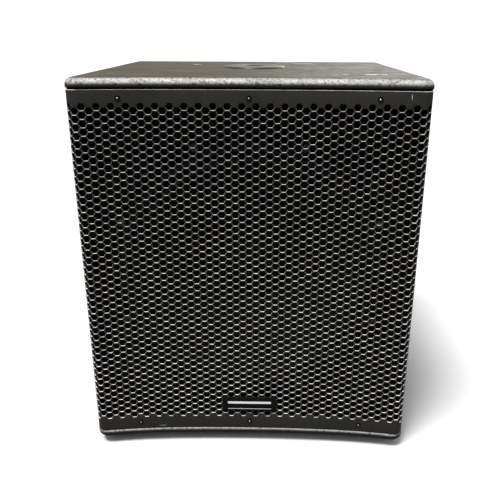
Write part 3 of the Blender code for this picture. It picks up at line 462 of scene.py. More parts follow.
def brushed_aluminium(name, dark, light, stretch, metallic=0.7):
    """Anodised aluminium with fine lines along one direction."""
    f = Finish(name, roughness=0.45, metallic=metallic)
    lines = f.noise(300, 4, 0.6, stretch=stretch)
    f.colour(f.mix(lines, dark, light))
    f.rough(f.ramp(lines, 0.3, 0.7, 0.34, 0.55))
    f.bump(lines, 0.15, 0.15 * MM)
    return f.material


def circuit_board():
    """Green lacquer over copper tracks."""
    f = Finish("circuit_board", roughness=0.4)
    tracks = f.maths("GREATER_THAN", f.maths("MAXIMUM", f.waves(60, "X", 3), f.waves(45, "Z", 4)), 0.82)
    f.colour(f.mix(tracks, (0.012, 0.085, 0.035), (0.03, 0.20, 0.08)))
    f.rough(f.ramp(f.noise(60), 0.3, 0.7, 0.3, 0.5))
    f.bump(tracks, 0.4, 0.1 * MM)
    return f.material


def lens_plastic():
    """A milky green light guide over the status lamps."""
    colour = (160, 3, (0.10, 0.42, 0.16), (0.22, 0.70, 0.30))
    rough, bump = (300, 3, 0.14, 0.3), (900, 3, 0.1, 0.1 * MM)
    return grained("lens_plastic", 0.2, colour, rough, bump, Transmission_Weight=0.15)


def soft_rubber():
    """Black rubber, greyed by the floor."""
    f = Finish("soft_rubber", roughness=0.85, Specular_IOR_Level=0.2)
    scuffed = f.ramp(f.noise(90, 6, 0.75), 0.4, 0.75)
    f.colour(f.mix(scuffed, (0.012, 0.012, 0.012), (0.060, 0.057, 0.052)))
    f.rough(f.ramp(scuffed, 0.0, 1.0, 0.75, 0.95))
    f.bump(f.noise(600, 3), 0.3, 0.3 * MM)
    return f.material


def bright_metal(name, dark, light):
    """Plated contacts, slightly tarnished."""
    rough, bump = (500, 3, 0.18, 0.4), (1500, 2, 0.08, 0.1 * MM)
    return grained(name, 0.25, (300, 5, dark, light), rough, bump, metallic=1.0)


def printed_ink(name, dark, light):
    """Pale ink of ticks and lines, thin in places."""
    rough, bump = (400, 3, 0.42, 0.6), (1500, 2, 0.15, 0.05 * MM)
    return grained(name, 0.5, (900, 4, dark, light), rough, bump)


# Pieces --------------------------------------------------------------------------------------------


def linked(name, data):
    """A new object in the scene."""
    obj = bpy.data.objects.new(name, data)
    bpy.context.scene.collection.objects.link(obj)
    return obj


def piece(name, bm, material, body="cabinet", replaces=(), smooth=35):
    """An object from a bmesh in the row frame, riding on its body."""
    bmesh.ops.recalc_face_normals(bm, faces=bm.faces)
    mesh = bpy.data.meshes.new(name)
    bm.to_mesh(mesh)
    bm.free()
    mesh.shade_smooth()
    mesh.set_sharp_from_angle(angle=math.radians(smooth))
    mesh.materials.append(material)
    obj = linked(name, mesh)
    if body:
        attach(obj, body)
    if replaces:
        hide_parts(*replaces)
    return obj


def turned(profile, place, segments=64, part=(0, 360)):
    """A solid turned from (radius, height) points about the place's Z. A profile that neither starts
    nor ends on the axis is a closed ring, and a part of a turn has flat ends."""
    bm = bmesh.new()
    whole = part[1] - part[0] == 360
    columns = []
    for i in range(segments + (not whole)):
        angle = math.radians(part[0] + (part[1] - part[0]) * i / segments)
        spots = [Vector((r * math.cos(angle), r * math.sin(angle), height)) for r, height in profile]
        columns.append([bm.verts.new(place @ spot) for spot in spots])
    ring = profile[0][0] > 0 and profile[-1][0] > 0
    rows = len(profile) if ring else len(profile) - 1
    pairs = list(zip(columns, columns[1:]))
    if whole:
        pairs.append((columns[-1], columns[0]))
    for first, second in pairs:
        for i in range(rows):
            following = (i + 1) % len(profile)
            bm.faces.new((first[i], first[following], second[following], second[i]))
    if not whole:
        bm.faces.new(columns[0])
        bm.faces.new(columns[-1])
    bmesh.ops.remove_doubles(bm, verts=bm.verts, dist=0.001 * MM)
    return bm


def band(bm, first, second):
    """Adds faces between two rings of vertices."""
    corners = range(len(first))
    return [bm.faces.new((first[i - 1], first[i], second[i], second[i - 1])) for i in corners]


def lofted(bm, rings, place):
    """Adds a closed skin through rings of (x, y, z) points, capped at both ends."""
    made = [[bm.verts.new(place @ Vector(point)) for point in ring] for ring in rings]
    for first, second in zip(made, made[1:]):
        band(bm, first, second)
    bm.faces.new(made[0])
    bm.faces.new(made[-1])
    return bm


def rounded_ring(width, height, radius, z, steps=8):
    """Points of a rounded rectangle at a height."""
    points = []
    for quarter in range(4):
        middle_x = (1 if quarter in (0, 3) else -1) * (width / 2 - radius)
        middle_y = (1 if quarter in (0, 1) else -1) * (height / 2 - radius)
        for step in range(steps + 1):
            angle = math.pi / 2 * (quarter + step / steps)
            points.append((middle_x + radius * math.cos(angle), middle_y + radius * math.sin(angle), z))
    return points


def star_ring(radius, z, reach, corners=32):
    """Points of a circle, or of a four-armed cross where reach gives the arms' share of their length."""
    points = []
    for i in range(corners):
        angle = 2 * math.pi * i / corners
        away = abs((angle + math.pi / 4) % (math.pi / 2) - math.pi / 4)
        r = min(radius, reach * radius / math.sin(away)) if reach and away > 0.01 else radius
        points.append((r * math.cos(angle), r * math.sin(angle), z))
    return points


def round_rings(sizes, corners=24):
    """Circles, given as (radius, height) in millimetres."""
    return [star_ring(r * MM, z * MM, 0, corners) for r, z in sizes]


def round_circle(place, radius, height, count):
    """Places evenly round a circle, from half a step on."""
    angles = [math.radians(360 / count * (i + 0.5)) for i in range(count)]
    spots = [(radius * math.cos(angle), radius * math.sin(angle), height) for angle in angles]
    return [place @ Matrix.Translation(spot) for spot in spots]


def screw_heads(name, places, radius, height, material):
    """Pan heads with a cross recess, in one piece."""
    bm = bmesh.new()
    for place in places:
        rings = [
            star_ring(radius, 0, 0), star_ring(radius, 0.45 * height, 0),
            star_ring(0.93 * radius, 0.78 * height, 0), star_ring(0.74 * radius, height, 0),
            star_ring(0.62 * radius, height, 0.24), star_ring(0.52 * radius, 0.35 * height, 0.24),
        ]
        lofted(bm, rings, place)
    return piece(name, bm, material)


def strips(bm, place, rectangles, thickness):
    """Adds thin raised rectangles, given as (x, y, width, height, turn in degrees)."""
    for x, y, width, height, turn in rectangles:
        spot = place @ Matrix.Translation((x, y, 0)) @ Matrix.Rotation(math.radians(turn), 4, "Z")
        corner = min(width, height) * 0.45
        rings = [rounded_ring(width, height, corner, 0, 3), rounded_ring(width, height, corner, thickness, 3)]
        lofted(bm, rings, spot)
    return bm


# The hollow front ----------------------------------------------------------------------------------


def bow(x):
    """Y of the grille's face at x."""
    share = abs(x) / BOW_SPAN
    return FRONT_MIDDLE_Y - BOW_SQUARE * share**2 - BOW_FOURTH * share**4


def bow_lean(x):
    """Angle by which the front leans forward towards its sides at x."""
    share = abs(x) / BOW_SPAN
    return math.atan((2 * BOW_SQUARE * share + 4 * BOW_FOURTH * share**3) / BOW_SPAN)


def bow_end(half_width, radius):
    """Where the bow gives way to the rounded corner."""
    start = half_width - radius
    for _ in range(5):
        start = half_width - radius * (1 + math.sin(bow_lean(start)))
    return start


def holes_in(column):
    """Number of holes in a column."""
    return ODD_COLUMN_HOLES if column % 2 else ODD_COLUMN_HOLES - 1


class SheetLine:
    """The face line of the grille's sheet, from its middle round the bend to the end of its return."""

    def __init__(self, half_width):
        start = bow_end(half_width, BEND_RADIUS)
        lean = bow_lean(start)
        xs = np.linspace(0, start, SHEET_LINE_STEPS + 1)
        headings = [-bow_lean(x) for x in xs]
        points = [(x, bow(x)) for x in xs]
        middle = (half_width - BEND_RADIUS, points[-1][1] + BEND_RADIUS * math.cos(lean))
        for heading in np.linspace(-lean, math.pi / 2, SHEET_BEND_STEPS + 1)[1:]:
            headings.append(heading)
            x = middle[0] + BEND_RADIUS * math.sin(heading)
            points.append((x, middle[1] - BEND_RADIUS * math.cos(heading)))
        headings.append(math.pi / 2)
        points.append((points[-1][0], points[-1][1] + SHEET_RETURN))
        self.points = np.array(points)
        self.headings = np.array(headings)
        steps = np.linalg.norm(np.diff(self.points, axis=0), axis=1)
        self.lengths = np.concatenate([[0], np.cumsum(steps)])
        self.bend = (self.lengths[SHEET_LINE_STEPS], self.lengths[-2])
        self.end = self.lengths[-1]

    def place(self, along, depth, z):
        """The point at a distance along the sheet from its middle, and at a depth behind its face."""
        side = math.copysign(1, along)
        at = abs(along)
        x = np.interp(at, self.lengths, self.points[:, 0])
        y = np.interp(at, self.lengths, self.points[:, 1])
        heading = np.interp(at, self.lengths, self.headings)
        return (side * (x - depth * math.sin(heading)), y + depth * math.cos(heading), z)


def hole_cells():
    """Flat points and faces of every cell: a hexagonal hole with rounded lips, in (along, depth, z)."""
    hole = HOLE_ACROSS / math.sqrt(3)
    rings = (
        (CELL, 0), (hole + 0.85 * MM, 0), (hole + 0.4 * MM, 0.12 * MM), (hole + 0.1 * MM, 0.4 * MM),
        (hole, 0.85 * MM), (hole, SHEET), (CELL, SHEET),
    )
    corners = [(math.cos(math.radians(60 * i)), math.sin(math.radians(60 * i))) for i in range(6)]
    template = np.array([(r * x, depth, r * z) for r, depth in rings for x, z in corners])
    quads = []
    for ring in range(len(rings) - 1):
        for i in range(6):
            a, b = 6 * ring + i, 6 * ring + (i + 1) % 6
            quads.append((a, b, b + 6, a + 6))
    points, faces = [], []
    for column in range(-OUTER_COLUMN, OUTER_COLUMN + 1):
        count = holes_in(column)
        for row in range(count):
            spot = (column * COLUMN_PITCH, 0, (row - (count - 1) / 2) * HOLE_PITCH)
            faces += [[corner + len(template) * len(points) for corner in quad] for quad in quads]
            points.append(template + spot)
    return np.concatenate(points).tolist(), faces


def margin_strips(end, reaches):
    """Pairs of (inner, outer) points, in (along, z), for the plain strips round the holes. The inner
    points run along the outermost cells. The last four strips are the corners."""
    level = []
    for column in range(-OUTER_COLUMN, OUTER_COLUMN + 1):
        z = holes_in(column) * HOLE_PITCH / 2
        level += [(column * COLUMN_PITCH - CELL / 2, z), (column * COLUMN_PITCH + CELL / 2, z)]
    x, z = level[-1]
    upright = [(x, z)]
    for _ in range(ODD_COLUMN_HOLES):
        upright += [(x + CELL / 2, z - HOLE_PITCH / 2), (x, z - HOLE_PITCH)]
        z -= HOLE_PITCH
    found = []
    for side, reach in reaches.items():
        found.append([((x, side * z), (x, reach)) for x, z in level])
        found.append([((side * x, z), (side * end, z)) for x, z in upright])
    x, z = level[-1]
    for side in (1, -1):
        for way, reach in reaches.items():
            inner = (side * x, way * z)
            outer = ((side * end, way * z), (side * end, reach), (side * x, reach))
            found.append([(inner, point) for point in outer])
    return found


def margins(end, reaches):
    """Flat points and faces of the plain margins: front, back and a rounded rim."""
    lip = 0.8 * MM
    points, faces = [], []
    for strip in margin_strips(end, reaches):
        layers = []
        for (inner_x, inner_z), (outer_x, outer_z) in strip:
            layer = [(inner_x, 0, inner_z)]
            for angle in (0, 30, 60, 90):
                shy = lip * (1 - math.sin(math.radians(angle)))
                x = math.copysign(min(abs(outer_x), end - shy), outer_x)
                z = min(max(outer_z, reaches[-1] + shy), reaches[1] - shy)
                layer.append((x, lip * (1 - math.cos(math.radians(angle))), z))
            layers.append(layer + [(outer_x, SHEET, outer_z), (inner_x, SHEET, inner_z)])
        for before, after in zip(layers, layers[1:]):
            for i in range(len(before) - 1):
                faces.append([len(points) + k for k in range(4)])
                points += [before[i], before[i + 1], after[i + 1], after[i]]
    return points, faces


def perforated_sheet():
    """The formed grille: flat first, cut across where it will bend, then laid along its line."""
    low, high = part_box("grille")
    line = SheetLine(high.x)
    points, faces = hole_cells()
    more_points, more_faces = margins(line.end, {1: high.z - PATTERN_Z, -1: low.z - PATTERN_Z})
    faces += [[corner + len(points) for corner in face] for face in more_faces]
    mesh = bpy.data.meshes.new("flat_grille")
    mesh.from_pydata(points + more_points, [], faces)
    bm = bmesh.new()
    bm.from_mesh(mesh)
    bpy.data.meshes.remove(mesh)
    bmesh.ops.remove_doubles(bm, verts=bm.verts, dist=0.01 * MM)
    bmesh.ops.dissolve_degenerate(bm, edges=bm.edges, dist=0.01 * MM)
    count = math.ceil((line.bend[1] - line.bend[0]) / BEND_FACET)
    for at in np.linspace(line.bend[0], line.bend[1], count + 1):
        for side in (-1, 1):
            near = [f for f in bm.faces if max(side * v.co.x for v in f.verts) > line.bend[0] - HOLE_PITCH]
            edges = dict.fromkeys(e for f in near for e in f.edges)
            verts = dict.fromkeys(v for f in near for v in f.verts)
            geometry = near + list(edges) + list(verts)
            bmesh.ops.bisect_plane(
                bm, geom=geometry, dist=0.001 * MM, plane_co=(side * at, 0, 0), plane_no=(1, 0, 0)
            )
    for v in bm.verts:
        v.co = line.place(v.co.x, v.co.y, v.co.z + PATTERN_Z)
    return bm


# Cabinet -------------------------------------------------------------------------------------------


def panel_plan():
    """Outline of the top and bottom panels, from the rear left corner along the front to the rear right."""
    low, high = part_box("top_panel")
    half, rear = high.x, high.y
    start = bow_end(half, FRONT_CORNER_RADIUS)
    front, corner = PANEL_STEPS["front"], PANEL_STEPS["front corner"]
    side, rear_corner = PANEL_STEPS["side"], PANEL_STEPS["rear corner"]
    right = [(start * i / front, bow(start * i / front) - 1 * MM) for i in range(front + 1)]
    lean = bow_lean(start)
    middle = (half - FRONT_CORNER_RADIUS, right[-1][1] + FRONT_CORNER_RADIUS * math.cos(lean))
    for i in range(1, corner + 1):
        heading = -lean + (math.pi / 2 + lean) * i / corner
        x = middle[0] + FRONT_CORNER_RADIUS * math.sin(heading)
        right.append((x, middle[1] - FRONT_CORNER_RADIUS * math.cos(heading)))
    side_start = right[-1][1]
    for i in range(1, side):
        right.append((half, side_start + (rear - REAR_CORNER_RADIUS - side_start) * i / side))
    for i in range(rear_corner + 1):
        angle = math.pi / 2 / rear_corner * i
        inset = REAR_CORNER_RADIUS * (1 - math.cos(angle))
        right.append((half - inset, rear - REAR_CORNER_RADIUS * (1 - math.sin(angle))))
    return [(-x, y) for x, y in reversed(right) if x > 0] + right


def inset_outline(points, distance):
    """The same closed outline moved inwards."""
    moved = []
    for i, point in enumerate(points):
        before, after = Vector(points[i - 1]), Vector(points[(i + 1) % len(points)])
        along = (after - before).normalized()
        moved.append(Vector(point) + distance * Vector((-along.y, along.x)))
    return moved


def ring_points(radius, spot, z, count=96):
    """Points round a circle."""
    turns = [2 * math.pi * i / count for i in range(count)]
    return [(spot[0] + radius * math.cos(a), spot[1] + radius * math.sin(a), z) for a in turns]


def cap_round(bm, rim, hole):
    """Fills between a rim of vertices and a hole's."""
    edges = []
    for loop in (rim, hole):
        for i in range(len(loop)):
            edges.append(bm.edges.get((loop[i - 1], loop[i])) or bm.edges.new((loop[i - 1], loop[i])))
    bmesh.ops.triangle_fill(bm, use_beauty=True, use_dissolve=False, edges=edges)


def rim_levels(inner, outer):
    """How far a panel's outline is inset at each height, from its inner face round to its outer one."""
    way = math.copysign(1, outer - inner)
    eased = 0.3 * EDGE_EASE
    levels = [(EDGE_EASE, inner), (eased, inner + way * eased), (0, inner + way * EDGE_EASE)]
    steps = PANEL_STEPS["rounding"]
    for i in range(steps + 1):
        angle = math.pi / 2 * i / steps
        inset = PANEL_ROUNDING * (1 - math.cos(angle))
        levels.append((inset, outer - way * PANEL_ROUNDING * (1 - math.sin(angle))))
    return levels


def rounded_panel(name, node, rounded_up, paint, inside, hole=None):
    """A panel with a rounded rim on its outer side, and a round hole (radius, middle) if one is given. On a
    top panel the small ease under its rim takes the inside finish, as painted shade under the lip.
    """
    low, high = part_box(node)
    outer, inner = (high.z, low.z) if rounded_up else (low.z, high.z)
    outline = panel_plan()
    bm = bmesh.new()
    made = []
    for inset, z in rim_levels(inner, outer):
        made.append([bm.verts.new((x, y, z)) for x, y in inset_outline(outline, inset)])
    for level, (first, second) in enumerate(zip(made, made[1:])):
        for face in band(bm, first, second):
            # Painted shade: on a top panel the ease under its rim is made flat black, for the shade under the
            # lip above the grille.
            face.material_index = int(rounded_up and level < 2)
    if hole:
        radius, spot = hole
        walls = [[bm.verts.new(point) for point in ring_points(radius, spot, z)] for z in (inner, outer)]
        band(bm, *walls)
        cap_round(bm, made[0], walls[0])
        cap_round(bm, made[-1], walls[1])
    else:
        bm.faces.new(made[0])
        bm.faces.new(made[-1])
    for face in bm.faces:
        if all(abs(v.co.z - inner) < 0.01 * MM for v in face.verts):
            face.material_index = 1
    panel = piece(name, bm, paint, replaces=[node])
    panel.data.materials.append(inside)
    return panel


def ease(node, width):
    """Merges a CAD node's facets, rounds its sharp edges and shades it smooth."""
    weld = node.modifiers.new("Weld", "WELD")
    weld.merge_threshold = 0.01 * MM
    flat = node.modifiers.new("Flat faces", "DECIMATE")
    flat.decimate_type = "DISSOLVE"
    flat.angle_limit = math.radians(1)
    flat.delimit = {"MATERIAL"}
    bevel = node.modifiers.new("Eased edges", "BEVEL")
    bevel.width = width
    bevel.segments = 2
    bevel.limit_method = "ANGLE"
    bevel.angle_limit = math.radians(35)
    bevel.harden_normals = False
    node.data.shade_smooth()
    even = node.modifiers.new("Even shading", "WEIGHTED_NORMAL")
    even.keep_sharp = False
    even.weight = 100


def keep_nodes(material, names, width=0.4 * MM):
    """CAD nodes that keep their shape: their edges are eased and they take a finish."""
    for name in names:
        node = NODES[name]
        node.data.materials.clear()
        node.data.materials.append(material)
        ease(node, width)


def finish_faces(names, material, faces_chosen):
    """Gives the faces that faces_chosen(middle, direction) picks another finish."""
    for name in names:
        mesh = NODES[name].data
        mesh.materials.append(material)
        for face in mesh.polygons:
            if faces_chosen(face.center, face.normal):
                face.material_index = len(mesh.materials) - 1


# Front fittings ------------------------------------------------------------------------------------


def outward(x):
    """The direction that the grille's face looks in at x."""
    lean = math.copysign(bow_lean(x), x)
    return Vector((-math.sin(lean), -math.cos(lean), 0))


def grille_screws(recess_shade_black, head_metal):
    """The six screws that hold the grille: a bright button head sunk in a black collar, which is painted
    shade standing in for the dark recess round each head.
    """
    for row in ("top", "bottom"):
        for column in ("left", "middle", "right"):
            node = "grille_screw_" + row + "_" + column
            spot = centre(node)
            face = Vector((spot.x, bow(spot.x), spot.z)) + 0.3 * MM * outward(spot.x)
            place = facing(face, outward(spot.x))
            profile = [(3.9, 0), (3.9, 0.7), (3.6, 1.1), (3.2, 1.1), (1.7, 0.3), (1.7, 0)]
            ring = turned([(r * MM, z * MM) for r, z in profile], place, 48)
            # Painted shade: a flat black collar round the head, for the shaded recess it sits in.
            collar = piece(node + "_recess_shade", ring, recess_shade_black)
            rings = [(1.6, 0), (1.6, 0.9), (1.5, 1.4), (1.25, 1.7), (0.95, 1.8), (0.7, 1.78), (0.6, 0.9)]
            loops = [star_ring(r * MM, z * MM, 0.5 if r < 0.8 else 0, 48) for r, z in rings]
            head = piece(node + "_head", lofted(bmesh.new(), loops, place), head_metal)
            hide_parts(node)
            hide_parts(node)


def badge(plastic, ink):
    """A small plate with rounded edges and, in place of a name, a plain pale bar over a fine line."""
    low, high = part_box("badge")
    width, thickness, height = high - low
    place = facing((0, high.y, (low.z + high.z) / 2), FRONT)
    rings = [
        rounded_ring(width, height, 3 * MM, 0),
        rounded_ring(width, height, 3 * MM, thickness - 0.5 * MM),
        rounded_ring(width - 0.4 * MM, height - 0.4 * MM, 2.8 * MM, thickness - 0.15 * MM),
        rounded_ring(width - 1 * MM, height - 1 * MM, 2.5 * MM, thickness - 0.02 * MM),
    ]
    bm = lofted(bmesh.new(), rings, place)
    piece("badge_plate", bm, plastic, replaces=["badge"])
    face = place @ Matrix.Translation((0, 0, thickness - 0.12 * MM))
    marks = [(0, 2.5 * MM, 74 * MM, 4.2 * MM, 0), (0, -9.5 * MM, 74 * MM, 0.8 * MM, 0)]
    piece("badge_mark", strips(bmesh.new(), face, marks, 0.12 * MM), ink)


# Woofer --------------------------------------------------------------------------------------------


def woofer_place():
    """The woofer's own frame: Z towards the front from the baffle's face."""
    spot = centre("woofer_cone")
    return facing((spot.x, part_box("front_baffle")[0].y, spot.z), FRONT)


def cone_level(radius):
    """Height of the cone's front face, with three shallow ribs round it."""
    rib = sum(math.exp(-(((radius / MM - at) / 2.2) ** 2)) for at in (96, 122, 148))
    return CONE_NECK[1] + CONE_SLOPE * (radius - CONE_NECK[0]) + 0.9 * MM * rib


def cone_and_cap(place, paper):
    """The cone and the domed cap in its middle."""
    steps = 60
    radii = [CONE_RIM - (CONE_RIM - CONE_NECK[0]) * i / steps for i in range(steps + 1)]
    profile = [(r, cone_level(r)) for r in radii]
    profile += [(r, CONE_NECK[1] + CONE_SLOPE * (r - CONE_NECK[0]) - CONE_SKIN) for r in reversed(radii)]
    skin = turned(profile, place, 128)
    piece("cone_skin", skin, paper, "cone_assembly", ["woofer_cone"], smooth=50)
    edge = CONE_NECK[1] + CONE_SLOPE * (CAP_RADIUS - CONE_NECK[0]) + 0.3 * MM
    outer = [(CAP_RADIUS * i / 20, edge + 1.2 * MM + CAP_RISE * (1 - (i / 20) ** 2)) for i in range(21)]
    inner = [(r * 0.985, z - 1 * MM) for r, z in reversed(outer)]
    dome = turned(outer + inner, place, 96)
    piece("cap_dome", dome, paper, "cone_assembly", ["dust_cap"], smooth=50)


def flexing_ring(name, node, shape, sectors, turn_steps, place, material):
    """A rolled ring between the frame and the moving parts, made as sectors that each roll along their
    radius.
    """
    start, end, base = shape["start"] * MM, shape["end"] * MM, shape["base"] * MM
    steps = 10 * shape["rolls"]
    top = []
    for i in range(steps + 1):
        roll = math.sin(math.pi * shape["rolls"] * i / steps)
        top.append((start + (end - start) * i / steps, base + shape["height"] * MM * roll))
    top.append((end + shape["rim"] * MM, base))
    profile = [(r, z + shape["skin"] * MM) for r, z in top] + top[::-1]
    for sector in range(sectors):
        sweep = 360 / sectors
        bm = turned(profile, place, turn_steps, (sweep * sector, sweep * (sector + 1)))
        obj = piece(f"{name}_{sector + 1:02d}", bm, material, None, [node], smooth=60)
        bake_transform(obj)


def gasket(place, foam):
    """The foam ring on the basket's flange, with rounded edges and a shallow channel."""
    outer, inner, low, high = 230 * MM, 212.5 * MM, 6.6 * MM, 9.6 * MM
    ease_by = 0.8 * MM
    middle = (outer + inner) / 2
    profile = [
        (outer, low), (outer, high - ease_by), (outer - 0.3 * ease_by, high - 0.3 * ease_by),
        (outer - ease_by, high), (middle + 2 * MM, high), (middle, high - 0.6 * MM),
        (middle - 2 * MM, high), (inner + ease_by, high), (inner + 0.3 * ease_by, high - 0.3 * ease_by),
        (inner, high - ease_by), (inner, low),
    ]
    bm = turned(profile, place, 128)
    ring = piece("gasket_ring", bm, foam, "cabinet", ["woofer_gasket"])


def flange_bolts(place, metal):
    """Eight bolts through the flange, each on a washer."""
    sizes = (
        (14, 6.99, 0), (14, 6.99, 0.8), (9, 4.49, 0.8), (9, 4.49, 4.4), (8, 3.99, 4.9),
        (4.6, 0.8, 4.9), (4.4, 0.8, 2),
    )
    rings = [rounded_ring(w * MM, w * MM, r * MM, z * MM) for w, r, z in sizes]
    bm = bmesh.new()
    for spot in round_circle(place, BOLT_CIRCLE, 9.6 * MM, BOLT_COUNT):
        lofted(bm, rings, spot)
    piece("flange_bolts", bm, metal)


def smooth_route(route, steps):
    """Points on the Catmull-Rom curve through a route, with that many to each stretch."""
    ends = [route[0] * 2 - route[1]] + route + [route[-1] * 2 - route[-2]]
    points = []
    for a, b, c, d in zip(ends, ends[1:], ends[2:], ends[3:]):
        for i in range(steps):
            t = i / steps
            square = (2 * a - 5 * b + 4 * c - d) * t**2
            cube = (3 * b - a - 3 * c + d) * t**3
            points.append((2 * b + (c - a) * t + square + cube) / 2)
    return points + [route[-1]]


def speaker_lead(sheath):
    """The cable inside the cabinet, from the woofer's terminals to the amplifier's box."""
    start = Vector((0.126, -0.083, 0.303))
    mouth = Vector((0.060, 0.146, 0.400))
    route = [
        start, start + Vector((0.030, 0.004, 0)), start + Vector((0.034, 0.060, 0.002)),
        Vector((0.110, 0.070, 0.352)), mouth + Vector((0.004, -0.050, -0.006)),
        mouth + Vector((0, -0.015, 0)), mouth,
    ]
    points = smooth_route(route, 4)
    curve = bpy.data.curves.new("speaker_cable", "CURVE")
    curve.dimensions = "3D"
    curve.bevel_depth = LEAD_DIAMETER / 2
    curve.bevel_resolution = 4
    curve.use_fill_caps = True
    spline = curve.splines.new("POLY")
    spline.points.add(len(points) - 1)
    for point, spot in zip(spline.points, points):
        point.co = (*spot, 1)
    spline.use_smooth = True
    curve.materials.append(sheath)
    cable = linked("speaker_cable", curve)
    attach(cable, "cabinet")
    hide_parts("speaker_lead")


def woofer(finishes):
    """The driver's pieces in the shapes that show, and its CAD nodes in their finishes."""
    place = woofer_place()
    paper, cloth, steel = finishes["paper"], finishes["cloth"], finishes["steel"]
    cone_and_cap(place, paper)
    flexing_ring("surround", "woofer_surround", SURROUND, 24, 6, place, cloth)
    flexing_ring("spider_ring", "spider", SPIDER, 12, 8, place, cloth)
    gasket(place, finishes["foam"])
    flange_bolts(place, steel)
    keep_nodes(steel, ["woofer_basket", "magnet_top_plate", "pole_piece"])
    keep_nodes(ferrite(), ["magnet_ring"], width=1.5 * MM)
    amber = moulded_plastic("former_film", (0.10, 0.045, 0.012), (0.20, 0.10, 0.03))
    keep_nodes(amber, ["coil_former"], width=0.05 * MM)
    keep_nodes(wound_copper(), ["voice_coil", "transformer"], width=0.2 * MM)
    keep_nodes(finishes["plastic"], ["woofer_terminals"])
    speaker_lead(finishes["plastic"])


# Amplifier -----------------------------------------------------------------------------------------


def on_plate(x, y, height=0.0):
    """A place on the amplifier plate's face, with Z backwards from it and Y up."""
    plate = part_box("amp_plate")
    return facing((-x, plate[1].y + height, (plate[0].z + plate[1].z) / 2 + y), REAR)


def plate_screws(metal):
    """Screws round the amplifier plate, on the flanges of its sockets and on the heat sink."""
    rows = (-PLATE_SCREW_Y, -82 * MM, 0, 82 * MM, PLATE_SCREW_Y)
    spots = [(x, y) for x in (-PLATE_SCREW_X, PLATE_SCREW_X) for y in rows]
    spots += [(x, y) for x in (-38 * MM, 38 * MM) for y in (rows[0], rows[-1])]
    screw_heads("plate_screws", [on_plate(x, y) for x, y in spots], 3.6 * MM, 1.9 * MM, metal)
    corners = []
    for x in SOCKET_X:
        corners += [on_plate(x + side * 9.8 * MM, SOCKET_Y - side * 12.3 * MM, 2.3 * MM) for side in (-1, 1)]
    corners += [on_plate(INLET_SPOT[0] + side * 20 * MM, INLET_SPOT[1], 2.8 * MM) for side in (-1, 1)]
    screw_heads("socket_screws", corners, 2.2 * MM, 1.1 * MM, metal)


def plate_print(ink):
    """Printed rules round each group, ticks round the knobs and bars beside the button and lamps."""
    marks = []
    for x in KNOB_X:
        for i in range(11):
            turn = -150 + 30 * i
            away = 12.2 * MM
            spot = (x + away * math.sin(math.radians(turn)), CONTROL_Y + away * math.cos(math.radians(turn)))
            length = 3.2 * MM if i in (0, 5, 10) else 2 * MM
            marks.append((*spot, 0.5 * MM, length, -turn))
    for y in (-75 * MM, -23 * MM, 30 * MM):
        marks.append((0, y, 206 * MM, 0.6 * MM, 0))
    for x in (0, 56 * MM, -56 * MM):
        marks.append((x, -49 * MM, 0.5 * MM, 40 * MM, 0))
    for side in (-1, 1):
        marks.append((BUTTON_X + side * 9 * MM, CONTROL_Y, 0.6 * MM, 5 * MM, 0))
    for i in range(3):
        marks.append((LENS_X + (i - 1) * 11 * MM, CONTROL_Y + 6 * MM, 5 * MM, 0.6 * MM, 0))
    piece("plate_print", strips(bmesh.new(), on_plate(0, 0, -0.02 * MM), marks, 0.06 * MM), ink)


def plate_ribs(metal):
    """Two pressed ribs across the lower plate, round the mains fittings."""
    bm = bmesh.new()
    for y in (-99 * MM, -150 * MM):
        rings = []
        for inset, height in ((0, -0.1), (0.2, 0.4), (0.9, 0.9), (2.0, 1.1)):
            width, across = 190 * MM - 2 * inset * MM, 5 * MM - 2 * inset * MM
            rings.append(rounded_ring(width, across, across * 0.49, height * MM, 6))
        lofted(bm, rings, on_plate(0, y))
    piece("plate_ribs", bm, metal)


def socket_contacts(gold):
    """Sleeves on the outputs' pins, and cupped contacts in the inputs' holes."""
    pins, cups = bmesh.new(), bmesh.new()
    for x in SOCKET_X:
        for i in range(3):
            angle = math.radians(90 + 120 * i)
            spot = (x + PIN_CIRCLE * math.cos(angle), SOCKET_Y + PIN_CIRCLE * math.sin(angle))
            place = on_plate(*spot, 0.3 * MM)
            if x > 0:
                rings = [(1.3, -12.6), (1.3, -1.6), (1.2, -1.0), (0.8, -0.7), (0.3, -0.6)]
                lofted(pins, round_rings(rings), place)
            else:
                rings = [(1.42, -10), (1.42, 0.3), (1.3, 0.45), (1.0, 0.4), (0.9, 0.1), (0.85, -9)]
                lofted(cups, round_rings(rings), place)
    piece("output_pins", pins, gold)
    piece("input_contacts", cups, gold)


def fluted_ring(radius, z, depth, count=96, flutes=24):
    """Points round a knob, with grooves along it."""
    points = []
    for i in range(count):
        angle = 2 * math.pi * i / count
        r = radius - depth * (0.5 - 0.5 * math.cos(flutes * angle)) ** 2
        points.append((r * math.cos(angle), r * math.sin(angle), z))
    return points


